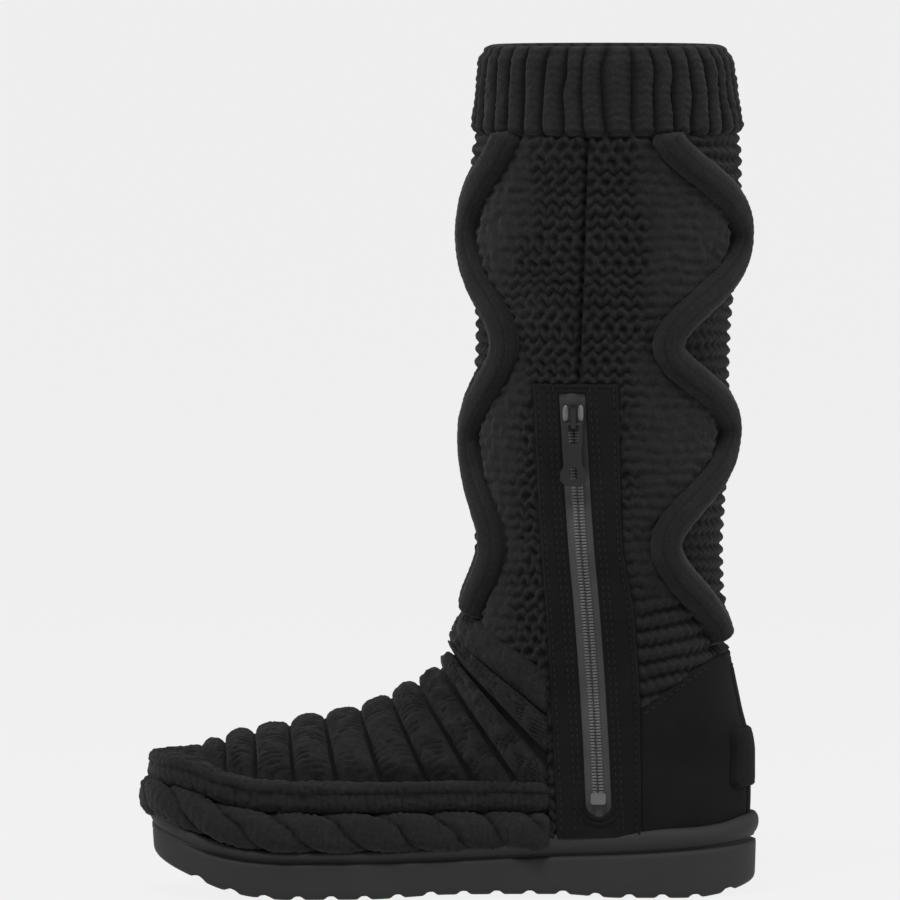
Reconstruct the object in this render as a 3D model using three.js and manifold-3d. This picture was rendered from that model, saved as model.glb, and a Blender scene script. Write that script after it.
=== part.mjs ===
import * as THREE from "three";
import { mergeVertices } from "three/addons/utils/BufferGeometryUtils.js";
import Module from "manifold-3d";

const wasm = await Module();
wasm.setup();

// Driving dimensions, in millimetres: toe towards -X, inner side of the foot towards -Y
const TOE_X = -132;
const HEEL_X = 136;
const RIM_Z = 373.4;
const WALL = 5;
const GAP = 0.3;

// The plan of the sole: how far each rounded end reaches, and how square its curve is
const TOE_ROUND_X = -70;
const TOE_POWER = 2.4;
const HEEL_ROUND_X = 95;
const HEEL_POWER = 2.1;

// Middle line and half width of the sole's plan
const SOLE_PLAN = [
  { x: -132, centre: -8, half: 50 },
  { x: -115, centre: -4.5, half: 49 },
  { x: -95, centre: -2.5, half: 48.5 },
  { x: -70, centre: 0, half: 50 },
  { x: -45, centre: 2.2, half: 50.2 },
  { x: -20, centre: 4, half: 47 },
  { x: 10, centre: 4, half: 42 },
  { x: 40, centre: 2.2, half: 38.7 },
  { x: 70, centre: 0.7, half: 38.2 },
  { x: 95, centre: 0, half: 38 },
  { x: 136, centre: 0, half: 38 },
];

// Side view of the sole: underside, footbed, bottom of the side groove, top of the bead
const SOLE_SIDE = [
  { x: -133, under: 21, bed: 29, groove: 32, bead: 41 },
  { x: -124, under: 15, bed: 26, groove: 27, bead: 37 },
  { x: -112, under: 9.5, bed: 22.5, groove: 22.5, bead: 30 },
  { x: -100, under: 4.6, bed: 19.5, groove: 19.5, bead: 25.5 },
  { x: -86, under: 1.3, bed: 17.5, groove: 17.3, bead: 22.5 },
  { x: -70, under: 0, bed: 16.5, groove: 16.5, bead: 21.5 },
  { x: -35, under: 0, bed: 16.5, groove: 16.5, bead: 21.5 },
  { x: 0, under: 1.6, bed: 18, groove: 17.2, bead: 23.5 },
  { x: 48, under: 1.6, bed: 21.5, groove: 19, bead: 29 },
  { x: 75, under: 0, bed: 23.5, groove: 19.8, bead: 30 },
  { x: 106, under: 0, bed: 25.5, groove: 21.7, bead: 31 },
  { x: 118, under: 1.4, bed: 26.3, groove: 22.8, bead: 32.3 },
  { x: 128, under: 4, bed: 27, groove: 24, bead: 35 },
  { x: 137, under: 7.5, bed: 27.5, groove: 25.5, bead: 37.2 },
];

// Cross lugs of the tread: first and last channel, their spacing and their section
const CHANNEL_FIRST_X = -110;
const CHANNEL_LAST_X = 122;
const CHANNEL_PITCH = 14.5;
const CHANNEL_MOUTH = 6;
const CHANNEL_FLOOR = 3.4;
const CHANNEL_DEPTH = 2.6;

// The foot lies this far inside the sole's edge and runs down into its footbed
const FOOT_INSET = 5;
const FOOT_BURIED = 6;
const FOOT_TOP_POWER = 3;
const FOOT_SIDE_POWER = 2.2;

// Vamp: each row is a plane across the foot, from the crown line down to the footbed.
// Rows 2 to 12 are the middles of the eleven padded welts.
const VAMP = [
  { row: 0, crownX: -127, crownZ: 47, footX: -127 },
  { row: 1, crownX: -117.5, crownZ: 60, footX: -117.5 },
  { row: 2, crownX: -103.4, crownZ: 64.3, footX: -105.5 },
  { row: 3, crownX: -92.4, crownZ: 66.8, footX: -92 },
  { row: 4, crownX: -78, crownZ: 69.8, footX: -74 },
  { row: 5, crownX: -62.8, crownZ: 73.2, footX: -53 },
  { row: 6, crownX: -46.6, crownZ: 76.2, footX: -29 },
  { row: 7, crownX: -31.8, crownZ: 80.8, footX: -4 },
  { row: 8, crownX: -18.9, crownZ: 86.6, footX: 20 },
  { row: 9, crownX: -7.4, crownZ: 92.3, footX: 43 },
  { row: 10, crownX: 0.6, crownZ: 101, footX: 64 },
  { row: 11, crownX: 3.8, crownZ: 109, footX: 84 },
  { row: 12, crownX: 6.8, crownZ: 118, footX: 102 },
  { row: 13, crownX: 9.8, crownZ: 131, footX: 124 },
];
const FIRST_WELT = 2;
const LAST_WELT = 12;
const WELT_HEIGHT = 6.8;
const WELT_STEP = 1 / 3;
const WELT_FADE = 6;
const WELT_CLEAR = 1.2;
const WELT_END_MEDIAL_X = 42;
const WELT_END_LATERAL_X = 60;
const WELT_END_SINK = 9;

// Heel and shaft: front and back of the wall in the side view, half width, squareness
const SHAFT = [
  { z: 10, front: -8, back: 127, half: 34, power: 2.5 },
  { z: 30, front: -7, back: 129, half: 35.5, power: 2.5 },
  { z: 45, front: -6, back: 129.6, half: 36.5, power: 2.5 },
  { z: 62, front: -3, back: 129.6, half: 37, power: 2.5 },
  { z: 84, front: 2, back: 125.2, half: 38, power: 2.5 },
  { z: 105, front: 6, back: 121.2, half: 41, power: 2.4 },
  { z: 130, front: 9.5, back: 119, half: 45, power: 2.3 },
  { z: 152, front: 12.4, back: 118.4, half: 47.5, power: 2.3 },
  { z: 175, front: 12, back: 119.6, half: 48.5, power: 2.3 },
  { z: 205, front: 11, back: 121, half: 49.5, power: 2.3 },
  { z: 247, front: 13, back: 121.6, half: 50, power: 2.3 },
  { z: 290, front: 10, back: 126, half: 51, power: 2.3 },
  { z: 325, front: 11, back: 126.6, half: 51.5, power: 2.3 },
  { z: 337, front: 13.5, back: 124.6, half: 51, power: 2.3 },
  { z: 375, front: 17.5, back: 119, half: 49.5, power: 2.3 },
];
const OUTSIDE_MESH = { levels: [8, 30, 48, 62, 84, 105, 128, 152, 178, 205, 230, 258, 290, 312], columns: 32 };
const INSIDE_MESH = { levels: [8, 45, 75, 105, 152, 200, 247, 290, 335], columns: 26 };

// Ribbed cuff
const CUFF_RIBS = 38;
const CUFF_BOTTOM_Z = 333.5;
const CUFF_PROUD = 0.6;
const CUFF_RIB_HEIGHT = 2.6;

// Wavy cords: turning points as height and angle from the front or the back of the shaft
const CORD_RADIUS = 7.1;
const CORD_LIFT = 1.6;
const CORD_STEPS_PER_TURN = 5;
const FRONT_CORD = [
  { z: 334, angle: 43 },
  { z: 289.5, angle: 10 },
  { z: 242, angle: 42 },
  { z: 198.5, angle: 10 },
  { z: 154, angle: 35 },
  { z: 120, angle: 25 },
];
const BACK_CORD = [
  { z: 334, angle: 67 },
  { z: 289.5, angle: 13 },
  { z: 242.5, angle: 63 },
  { z: 204.5, angle: 15 },
  { z: 155.5, angle: 61 },
  { z: 108, angle: 20 },
];

// Band and braid round the toe: height of the middle line along the foot
const BAND_HEIGHT = 14;
const BAND_PROUD = 5.4;
const BRAID_HEIGHT = 16.5;
const BRAID_PROUD = 8.6;
const BRAID_PITCH = 23;
const BRAID_WAVE = 1;
const TRIM_LINE = [
  { x: -132, band: 56.8, braid: 45.2 },
  { x: -118, band: 55.8, braid: 41.2 },
  { x: -109, band: 53, braid: 38 },
  { x: -98, band: 48.8, braid: 33.6 },
  { x: -80, band: 45.6, braid: 30.2 },
  { x: -55, band: 44.8, braid: 29.3 },
  { x: 84, band: 44.8, braid: 29.3 },
];
const TRIM_MEDIAL_END_X = 44;
const TRIM_LATERAL_END_X = 81;

// Suede zip facing on the inner side: edges and the middle line of the zip
const FACING_THICK = 2;
const FACING_TOP_Z = 226;
const FACING_EDGES = [
  { z: 10, front: 46.5, back: 84, zip: 66.5 },
  { z: 30, front: 46.5, back: 84, zip: 65.5 },
  { z: 70, front: 45, back: 83.6, zip: 63.7 },
  { z: 124, front: 42, back: 80.5, zip: 60 },
  { z: 158, front: 39.5, back: 75.5, zip: 57 },
  { z: 228, front: 36, back: 73.5, zip: 52.8 },
];
const WINDOW_HALF = 5.4;
const WINDOW_LOW_Z = 36.5;
const WINDOW_HIGH_Z = 221.5;
const TAPE_THICK = 0.9;
const SLIT_HALF = 2;

// Zip: chain, stops, slider and pull tab
const CHAIN_HALF = 1.9;
const CHAIN_HEIGHT = 1.7;
const STOP_WIDTH = 6.6;
const STOP_HEIGHT = 5;
const STOP_THICK = 2.2;
const STOP_Z = 44;
const SLIDER_Z = 211.5;
const SLIDER_LENGTH = 12;
const SLIDER_WIDTH = 9.2;
const SLIDER_THICK = 3.2;
const SLIDER_LIFT = 0.6;
const BRIDGE_WIDTH = 2;
const BRIDGE_BAR = 1.1;
const BRIDGE_CLEAR = 2.6;
const PULL_WIDTH = 11.5;
const PULL_LENGTH = 27;
const PULL_DROP = 2.7;
const PULL_THICK = 1.5;
const PULL_BAR_RADIUS = 0.85;

// Heel: counter outline in the side view, seam strip and plain patch
const COUNTER_THICK = 2;
const COUNTER_FRONT_X = 83.6;
const COUNTER_EDGE = [
  { x: 83.6, z: 82.5 },
  { x: 97, z: 92 },
  { x: 110, z: 101.5 },
  { x: 122, z: 107 },
  { x: 140, z: 109 },
];
const STRIP_HALF_WIDTH = 12;
const STRIP_THICK = 0.8;
const STRIP_TOP_Z = 102;
const PATCH_HALF_WIDTH = 23;
const PATCH_THICK = 1.4;
const PATCH_LOW_Z = 47.5;
const PATCH_HIGH_Z = 73.5;

// Insole
const INSOLE_THICK = 5;

// Colours of the finishes
const FINISH = {
  knit: { color: 0x1d1d1f, roughness: 0.96, metalness: 0 },
  suede: { color: 0x141416, roughness: 0.98, metalness: 0 },
  sole: { color: 0x242527, roughness: 0.85, metalness: 0 },
  fleece: { color: 0x222224, roughness: 1, metalness: 0 },
  tape: { color: 0x2b2c2e, roughness: 0.8, metalness: 0 },
  coil: { color: 0x3c3d40, roughness: 0.5, metalness: 0.1 },
  metal: { color: 0x1a1a1c, roughness: 0.35, metalness: 0.8 },
};

const clamp = THREE.MathUtils.clamp;
const lerp = THREE.MathUtils.lerp;
const smoothstep = THREE.MathUtils.smoothstep;

// Smooth curve through one column of a table, without overshoot, level beyond its ends
function curve(rows, key, column) {
  const at = rows.map((row) => row[key]);
  const value = rows.map((row) => row[column]);
  const slope = at.slice(1).map((next, i) => (value[i + 1] - value[i]) / (next - at[i]));
  const tangent = at.map((_, i) => {
    if (i === 0) return slope[0];
    if (i === at.length - 1) return slope[i - 1];
    if (slope[i - 1] * slope[i] <= 0) return 0;
    return 2 / (1 / slope[i - 1] + 1 / slope[i]);
  });
  return (where) => {
    const t = clamp(where, at[0], at[at.length - 1]);
    let i = 0;
    while (i < at.length - 2 && t > at[i + 1]) i += 1;
    const span = at[i + 1] - at[i];
    const u = (t - at[i]) / span;
    const bend = u * u * (3 - 2 * u);
    const rise = span * u * (1 - u);
    return lerp(value[i], value[i + 1], bend) + rise * ((1 - u) * tangent[i] - u * tangent[i + 1]);
  };
}

// All columns of a table as curves
function curves(rows, key) {
  const columns = Object.keys(rows[0]).filter((name) => name !== key);
  return Object.fromEntries(columns.map((name) => [name, curve(rows, key, name)]));
}

const plan = curves(SOLE_PLAN, "x");
const side = curves(SOLE_SIDE, "x");
const vamp = curves(VAMP, "row");
const shaft = curves(SHAFT, "z");
const trim = curves(TRIM_LINE, "x");
const facing = curves(FACING_EDGES, "z");
const weltFoot = (x) => trim.band(x) + BAND_HEIGHT / 2 + WELT_CLEAR;

// Closed solid over rings of equal length; a ring starts at one end of its mirror line
function loft(rings) {
  const count = rings[0].length;
  const index = [];
  for (let row = 0; row + 1 < rings.length; row += 1) {
    for (let i = 0; i < count; i += 1) {
      const next = (i + 1) % count;
      const [a, b] = [row * count + i, row * count + next];
      index.push(a, b, b + count, a, b + count, a + count);
    }
  }
  const cap = (start, flip) => {
    for (let i = 0; i < count / 2; i += 1) {
      const far = count - i - 1;
      const opposite = (count - i) % count;
      const faces = [];
      if (far !== i + 1) faces.push([i, i + 1, far]);
      if (opposite !== i) faces.push([i, far, opposite]);
      for (const [a, b, c] of faces) {
        index.push(start + a, start + (flip ? c : b), start + (flip ? b : c));
      }
    }
  };
  cap(0, true);
  cap((rings.length - 1) * count, false);
  const geometry = new THREE.BufferGeometry().setIndex(index);
  const positions = rings.flat().flatMap((point) => point.toArray());
  geometry.setAttribute("position", new THREE.Float32BufferAttribute(positions, 3));
  return solid(geometry);
}

// Six times the volume that the faces enclose
function signedVolume(geometry) {
  const position = geometry.getAttribute("position");
  const corner = (n) => new THREE.Vector3().fromBufferAttribute(position, geometry.index.getX(n));
  let total = 0;
  for (let n = 0; n < geometry.index.count; n += 3) {
    total += corner(n).dot(corner(n + 1).cross(corner(n + 2)));
  }
  return total;
}

// A geometry as a solid that can be added, cut and intersected
function solid(source) {
  const bare = source.clone();
  bare.deleteAttribute("normal");
  bare.deleteAttribute("uv");
  const geometry = mergeVertices(bare, 1e-4);
  const outward = signedVolume(geometry) > 0;
  const faces = [];
  for (let n = 0; n < geometry.index.count; n += 3) {
    const [a, b, c] = [0, 1, 2].map((k) => geometry.index.getX(n + k));
    if (a !== b && b !== c && c !== a) faces.push(a, outward ? b : c, outward ? c : b);
  }
  const vertProperties = new Float32Array(geometry.getAttribute("position").array);
  const mesh = new wasm.Mesh({ numProp: 3, vertProperties, triVerts: new Uint32Array(faces) });
  return new wasm.Manifold(mesh);
}

const add = (...parts) => parts.reduce((sum, part) => sum.add(part));
const cut = (body, ...tools) => tools.reduce((left, tool) => left.subtract(tool), body);
const common = (...parts) => parts.reduce((left, part) => left.intersect(part));

// Box between two corners
function block(low, high) {
  const size = high.map((value, i) => value - low[i]);
  const middle = high.map((value, i) => (value + low[i]) / 2);
  return solid(new THREE.BoxGeometry(...size).translate(...middle));
}

// Side-view outline, as points [x, z], pushed through the boot from one y to another
function throughBoot(outline, fromY, toY) {
  const shape = new THREE.Shape(outline.map(([x, z]) => new THREE.Vector2(x, z)));
  const geometry = new THREE.ExtrudeGeometry(shape, { depth: toY - fromY, bevelEnabled: false });
  return solid(geometry.rotateX(Math.PI / 2).translate(0, toY, 0));
}

// Half width of the sole's plan at a place along it, brought in from the edge
function planHalf(x, inset) {
  const body = plan.half(x) - inset;
  const toe = (TOE_ROUND_X - x) / (TOE_ROUND_X - TOE_X - inset);
  const heel = (x - HEEL_ROUND_X) / (HEEL_X - HEEL_ROUND_X - inset);
  if (toe > 0) return body * Math.max(0, 1 - toe ** TOE_POWER) ** (1 / TOE_POWER);
  if (heel > 0) return body * Math.max(0, 1 - heel ** HEEL_POWER) ** (1 / HEEL_POWER);
  return body;
}

// Places along the foot from heel tip to toe tip, close together at the rounded ends
function planStations(inset, ends, middle) {
  const toeReach = TOE_ROUND_X - TOE_X - inset;
  const heelReach = HEEL_X - HEEL_ROUND_X - inset;
  const stations = [];
  for (let i = 0; i < ends; i += 1) {
    const turn = Math.cos((i / ends) * (Math.PI / 2));
    stations.push(HEEL_ROUND_X + heelReach * turn ** (2 / HEEL_POWER));
  }
  for (let i = 0; i < middle; i += 1) stations.push(lerp(HEEL_ROUND_X, TOE_ROUND_X, i / middle));
  for (let i = 0; i <= ends; i += 1) {
    const turn = Math.sin((i / ends) * (Math.PI / 2));
    stations.push(TOE_ROUND_X - toeReach * turn ** (2 / TOE_POWER));
  }
  return stations;
}

// Ring round the plan, from the heel tip along the inner side to the toe tip and back
function planRing(inset, height, ends, middle) {
  const stations = planStations(inset, ends, middle);
  const inner = stations.map((x) => new THREE.Vector3(x, plan.centre(x) - planHalf(x, inset), height(x)));
  const outer = stations.slice(1, -1).map((x) => {
    return new THREE.Vector3(x, plan.centre(x) + planHalf(x, inset), height(x));
  });
  return [...inner, ...outer.reverse()];
}

// Half width of heel and shaft at a point of the side view
function shaftHalf(x, z, grow) {
  const front = shaft.front(z) - grow;
  const back = shaft.back(z) + grow;
  const along = Math.abs(x - (front + back) / 2) / ((back - front) / 2);
  const power = shaft.power(z);
  return (shaft.half(z) + grow) * Math.max(0, 1 - along ** power) ** (1 / power);
}

// Point on heel and shaft: the turn goes from the back, over the inner side, to the front
function shaftPoint(z, turn, grow) {
  const front = shaft.front(z) - grow;
  const back = shaft.back(z) + grow;
  const exponent = 2 / shaft.power(z);
  const [c, s] = [Math.cos(turn), Math.sin(turn)];
  const x = (front + back) / 2 + (Math.sign(c) * Math.abs(c) ** exponent * (back - front)) / 2;
  const y = -Math.sign(s) * Math.abs(s) ** exponent * (shaft.half(z) + grow);
  return new THREE.Vector3(x, y, z);
}

// Heel and shaft as one filled form
function shaftForm(grow, topZ, { levels, columns }) {
  const rings = [...levels, topZ].map((z) => {
    return Array.from({ length: columns }, (_, i) => shaftPoint(z, (i / columns) * 2 * Math.PI, grow));
  });
  return loft(rings);
}

// Ribbed cuff as one filled form
function cuffForm() {
  const levels = [
    { z: CUFF_BOTTOM_Z, proud: -1.5, rib: 0.1 },
    { z: CUFF_BOTTOM_Z + 1.5, proud: 0, rib: 0.8 },
    { z: CUFF_BOTTOM_Z + 5, proud: 0, rib: 1 },
    { z: RIM_Z - 8, proud: 0, rib: 1 },
    { z: RIM_Z - 2.5, proud: 0, rib: 0.8 },
    { z: RIM_Z, proud: -2, rib: 0.3 },
  ];
  const columns = CUFF_RIBS * 2;
  const rings = levels.map(({ z, proud, rib }) => {
    return Array.from({ length: columns }, (_, i) => {
      const crest = i % 2 === 0 ? CUFF_RIB_HEIGHT * rib : 0;
      return shaftPoint(z, (i / columns) * 2 * Math.PI, CUFF_PROUD + proud + crest);
    });
  });
  return loft(rings);
}

// How far a welt stands up, from 0 in the dip beside it to 1 on its middle
function weltBump(row) {
  const nearest = clamp(Math.round(row), FIRST_WELT, LAST_WELT);
  const off = Math.min(1, Math.abs(row - nearest) * 2);
  return Math.sqrt(1 - off * off);
}

// Larger of two values with the corner between them rounded
function softMax(a, b, round) {
  return (a + b + Math.hypot(a - b, round)) / 2;
}

// Point on the foot: the lift goes from 0 at the footbed to a quarter turn on the crown
function footPoint(row, lift, hand, grow) {
  const crown = new THREE.Vector2(vamp.crownX(row), vamp.crownZ(row));
  const foot = new THREE.Vector2(vamp.footX(row), side.bed(vamp.footX(row)) - FOOT_BURIED);
  const axis = crown.clone().sub(foot);
  const up = Math.sin(lift) ** (2 / FOOT_TOP_POWER);
  const across = Math.cos(lift) ** (2 / FOOT_SIDE_POWER);
  const reach = (axis.length() + grow) * up;
  const place = foot.clone().add(axis.normalize().multiplyScalar(reach));
  const toeScale = (TOE_ROUND_X - TOE_X - FOOT_INSET + grow) / (TOE_ROUND_X - TOE_X - FOOT_INSET);
  const x = place.x < TOE_ROUND_X ? TOE_ROUND_X - (TOE_ROUND_X - place.x) * toeScale : place.x;
  const dome = planHalf(x, FOOT_INSET - grow) * across;
  const ankle = shaftHalf(x, place.y, grow) - 0.5;
  const end = hand < 0 ? WELT_END_MEDIAL_X : WELT_END_LATERAL_X;
  const sink = WELT_END_SINK * smoothstep(x, end, end + 6) + 30 * smoothstep(x, 90, 120);
  const half = Math.max(1, softMax(dome, ankle, 4) - sink);
  const y = across < 1e-6 ? 0 : hand * half;
  return new THREE.Vector3(x, plan.centre(x) * (1 - smoothstep(x, 20, 60)) + y, place.y);
}

// Lift at which a row reaches the lower ends of the welts, just above the band
function weltFootLift(row) {
  const footZ = side.bed(vamp.footX(row)) - FOOT_BURIED;
  let up = 0.5;
  for (let pass = 0; pass < 6; pass += 1) {
    const x = lerp(vamp.footX(row), vamp.crownX(row), up);
    up = clamp((weltFoot(x) - footZ) / (vamp.crownZ(row) - footZ), 0.3, 0.86);
  }
  return Math.asin(up ** (FOOT_TOP_POWER / 2));
}

// Foot as one filled form, with or without its welts; a mesh line follows their lower ends
function footForm(grow, withWelts, step, above) {
  const below = 2;
  const columns = below + above;
  const rows = [0.03, 0.12, 0.28, 0.52, 0.8, 1.15];
  for (let row = FIRST_WELT - 0.5; row <= LAST_WELT + 0.5; row += step) rows.push(row);
  rows.push(LAST_WELT + 0.55 + grow * 0.1);
  const rings = rows.map((row) => {
    const turn = weltFootLift(row);
    const point = (i, hand) => {
      const lift = i <= below ? (turn * i) / below : lerp(turn, Math.PI / 2, (i - below) / above);
      const smooth = footPoint(row, lift, hand, grow);
      const low = weltFoot(smooth.x);
      const rise = i > below ? WELT_HEIGHT * weltBump(row) * smoothstep(smooth.z, low, low + WELT_FADE) : 0;
      return withWelts ? footPoint(row, lift, hand, grow + rise) : smooth;
    };
    const inner = Array.from({ length: columns }, (_, i) => point(columns - i, -1));
    const outer = Array.from({ length: columns - 1 }, (_, i) => point(i + 1, 1));
    const low = [point(0, -1), point(0, 1)];
    const middle = low[0].clone().add(low[1]).multiplyScalar(0.5);
    return [...inner, low[0], middle, low[1], ...outer];
  });
  return loft(rings);
}

// Everything between two heights that follow the length of the foot
function slab(low, high, step) {
  const rings = [];
  for (let x = TOE_X - 12; x <= HEEL_X + 12; x += step) {
    const [a, b] = [low(x), high(x)];
    rings.push([[-70, a], [-70, b], [70, b], [70, a]].map(([y, z]) => new THREE.Vector3(x, y, z)));
  }
  return loft(rings);
}

// The outside of foot and shaft together, filled
function upperOutside(grow) {
  return add(footForm(grow, true, WELT_STEP, 6), shaftForm(grow, CUFF_BOTTOM_Z + 2, OUTSIDE_MESH));
}

// The inside of foot and shaft together
function upperInside(grow) {
  return add(footForm(grow - WALL, false, 1, 4), shaftForm(grow - WALL, RIM_Z + 20, INSIDE_MESH));
}

// Sole as one filled form, up to the top of its bead
function soleForm(grow) {
  const [ends, middle] = [6, 9];
  const levels = [
    { inset: 5, height: (x) => side.under(x) - grow },
    { inset: 1.8, height: (x) => side.under(x) + 1.6 },
    { inset: 1.2, height: (x) => side.groove(x) - 2.2 },
    { inset: 3.6, height: (x) => side.groove(x) - 0.4 },
    { inset: 3.6, height: (x) => side.groove(x) + 0.4 },
    { inset: 0.8, height: (x) => side.groove(x) + 2 },
    { inset: 0, height: (x) => lerp(side.groove(x) + 1.5, side.bead(x), 0.5) },
    { inset: 1.2, height: (x) => side.bead(x) - 1.2 + grow },
    { inset: 3.4, height: (x) => side.bead(x) + grow },
    { inset: 7, height: (x) => side.bead(x) + grow },
  ];
  return loft(levels.map(({ inset, height }) => planRing(inset - grow, height, ends, middle)));
}

// Channels across the tread, each square to the underside where it is cut
function treadChannels() {
  const channels = [];
  for (let x = CHANNEL_FIRST_X; x <= CHANNEL_LAST_X; x += CHANNEL_PITCH) {
    const slope = Math.atan2(side.under(x + 3) - side.under(x - 3), 6);
    const outline = [
      [-CHANNEL_MOUTH / 2, -2],
      [CHANNEL_MOUTH / 2, -2],
      [CHANNEL_FLOOR / 2, CHANNEL_DEPTH],
      [-CHANNEL_FLOOR / 2, CHANNEL_DEPTH],
    ];
    const turned = outline.map(([u, v]) => [
      x + u * Math.cos(slope) - v * Math.sin(slope),
      side.under(x) + u * Math.sin(slope) + v * Math.cos(slope),
    ]);
    channels.push(throughBoot(turned, -60, 60));
  }
  return channels;
}

// One cord laid on the shaft: front or back pair, inner or outer side
function cord(turns, fromBack, hand, grow) {
  const steps = (turns.length - 1) * CORD_STEPS_PER_TURN;
  const angleAt = (place) => {
    const i = Math.min(Math.floor(place), turns.length - 2);
    const part = (1 - Math.cos((place - i) * Math.PI)) / 2;
    return lerp(turns[i].angle, turns[i + 1].angle, part);
  };
  const heightAt = (place) => {
    const i = Math.min(Math.floor(place), turns.length - 2);
    return lerp(turns[i].z, turns[i + 1].z, place - i);
  };
  const onShaft = (place, lift) => {
    const angle = THREE.MathUtils.degToRad(angleAt(place));
    const turn = fromBack ? angle : Math.PI - angle;
    const point = shaftPoint(heightAt(place), turn, lift);
    return hand < 0 ? point : point.multiply(new THREE.Vector3(1, -1, 1));
  };
  const arc = [-95, -57, -19, 19, 57, 95].map(THREE.MathUtils.degToRad);
  const rings = [];
  for (let n = 0; n <= steps; n += 1) {
    const place = (n / steps) * (turns.length - 1);
    const small = 0.02;
    const base = onShaft(place, CORD_LIFT);
    const out = onShaft(place, CORD_LIFT + 1).sub(base).normalize();
    const ahead = onShaft(Math.min(place + small, turns.length - 1), CORD_LIFT);
    const along = ahead.sub(onShaft(Math.max(place - small, 0), CORD_LIFT)).normalize();
    const across = along.clone().cross(out).normalize();
    const radius = CORD_RADIUS + grow;
    const outer = arc.map((a) => {
      return base.clone().addScaledVector(across, radius * Math.sin(a)).addScaledVector(out, radius * Math.cos(a));
    });
    rings.push([base.clone().addScaledVector(out, -4), ...outer]);
  }
  return loft(rings);
}

// Path of the trim round the toe, from its inner end to its outer end
function trimPath(levelAt) {
  const xs = [];
  for (let x = TRIM_MEDIAL_END_X; x > TOE_ROUND_X; x -= 11.5) xs.push({ x, hand: -1 });
  const toe = TOE_ROUND_X - TOE_X - FOOT_INSET;
  const bends = 6;
  for (let i = 0; i < bends; i += 1) {
    xs.push({ x: TOE_ROUND_X - toe * Math.sin(((i + 0.2) / bends) * (Math.PI / 2)) ** (2 / TOE_POWER), hand: -1 });
  }
  xs.push({ x: TOE_ROUND_X - toe, hand: -1 });
  for (let i = bends - 1; i >= 0; i -= 1) {
    xs.push({ x: TOE_ROUND_X - toe * Math.sin(((i + 0.2) / bends) * (Math.PI / 2)) ** (2 / TOE_POWER), hand: 1 });
  }
  for (let x = TOE_ROUND_X + 11.5; x < TRIM_LATERAL_END_X - 5; x += 11.5) xs.push({ x, hand: 1 });
  xs.push({ x: TRIM_LATERAL_END_X, hand: 1 });
  return xs.map(({ x, hand }) => {
    const ankle = smoothstep(x, 0, 40);
    const half = lerp(planHalf(x, FOOT_INSET), softMax(shaftHalf(x, 40, 0), 0, 1), ankle);
    const middle = plan.centre(x) * (1 - smoothstep(x, 20, 60));
    return new THREE.Vector3(x, middle + hand * half, levelAt(x));
  });
}

// Raised trim along a path: flat inside, round outside, with an optional wave like strands
function trimForm(path, height, proud, grow, wave) {
  let travelled = 0;
  const rings = path.map((point, i) => {
    const before = path[Math.max(i - 1, 0)];
    const after = path[Math.min(i + 1, path.length - 1)];
    travelled += point.distanceTo(before);
    const along = after.clone().sub(before).setZ(0).normalize();
    const out = new THREE.Vector3(along.y, -along.x, 0);
    if (out.dot(new THREE.Vector3(point.x + 40, point.y, 0)) < 0) out.negate();
    const swell = wave * Math.cos((travelled / BRAID_PITCH) * 2 * Math.PI);
    const arc = [-90, -45, 0, 45, 90].map(THREE.MathUtils.degToRad);
    const outer = arc.map((a) => {
      const lift = Math.sign(Math.sin(a)) * Math.abs(Math.sin(a)) ** 0.8 * (height / 2 + grow);
      return point.clone().addScaledVector(out, Math.cos(a) ** 0.7 * (proud + swell + grow)).setZ(point.z + lift);
    });
    const deep = outer.filter((_, k) => k === 0 || k === outer.length - 1);
    const [low, high] = deep.map((p) => p.clone().addScaledVector(out, -7));
    return [low, ...outer, high];
  });
  return loft(rings);
}

// Side-view strip between two lines that follow the height
function uprightOutline(frontAt, backAt, low, high, steps) {
  const levels = Array.from({ length: steps + 1 }, (_, i) => lerp(low, high, i / steps));
  return [...levels.map((z) => [frontAt(z), z]), ...levels.reverse().map((z) => [backAt(z), z])];
}

// Outline with both ends rounded, for the window in the facing
function windowOutline(half, low, high) {
  const bottom = [-90, -60, -30, 0].map(THREE.MathUtils.degToRad);
  const ends = (z, sign) => bottom.map((a) => [sign * half * Math.cos(a), z + half + half * Math.sin(a)]);
  const right = ends(low, 1).map(([u, z]) => [facing.zip(z) + u, z]);
  const left = ends(low, -1).map(([u, z]) => [facing.zip(z) + u, z]).reverse();
  const middle = [70, 97, 124, 141, 158, 190];
  const up = middle.map((z) => [facing.zip(z) + half, z]);
  const down = middle.map((z) => [facing.zip(z) - half, z]).reverse();
  const top = [[facing.zip(high) + half, high], [facing.zip(high) - half, high]];
  return [...right, ...up, ...top, ...down, ...left.slice(0, -1)];
}

// Layer round the whole heel and shaft, from one distance off the wall to another
function shell(inner, outer) {
  const top = CUFF_BOTTOM_Z + 2;
  return cut(shaftForm(outer, top, OUTSIDE_MESH), shaftForm(inner, top, OUTSIDE_MESH));
}

// The part of such a layer inside a side-view outline
function layer(outline, inner, outer, fromY, toY) {
  return common(throughBoot(outline, fromY, toY), shell(inner, outer));
}

const facingOutline = (extra) => uprightOutline(
  (z) => facing.front(z) - extra, (z) => facing.back(z) + extra, 14, FACING_TOP_Z + extra, 10);

const counterOutline = (extra) => [
  [COUNTER_FRONT_X - 2 - extra, 14],
  ...COUNTER_EDGE.map(({ x, z }) => [x === COUNTER_FRONT_X ? x - 2 - extra : x, z + extra]),
  [150, 14],
];

// Flat plate in the zip's own plane: outline as [x, z] about a centre, from one depth to another
function plate(outline, centre, depthFrom, depthTo) {
  const placed = outline.map(([u, w]) => [centre.x + u, centre.z + w]);
  return throughBoot(placed, centre.y - depthTo, centre.y - depthFrom);
}

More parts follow.
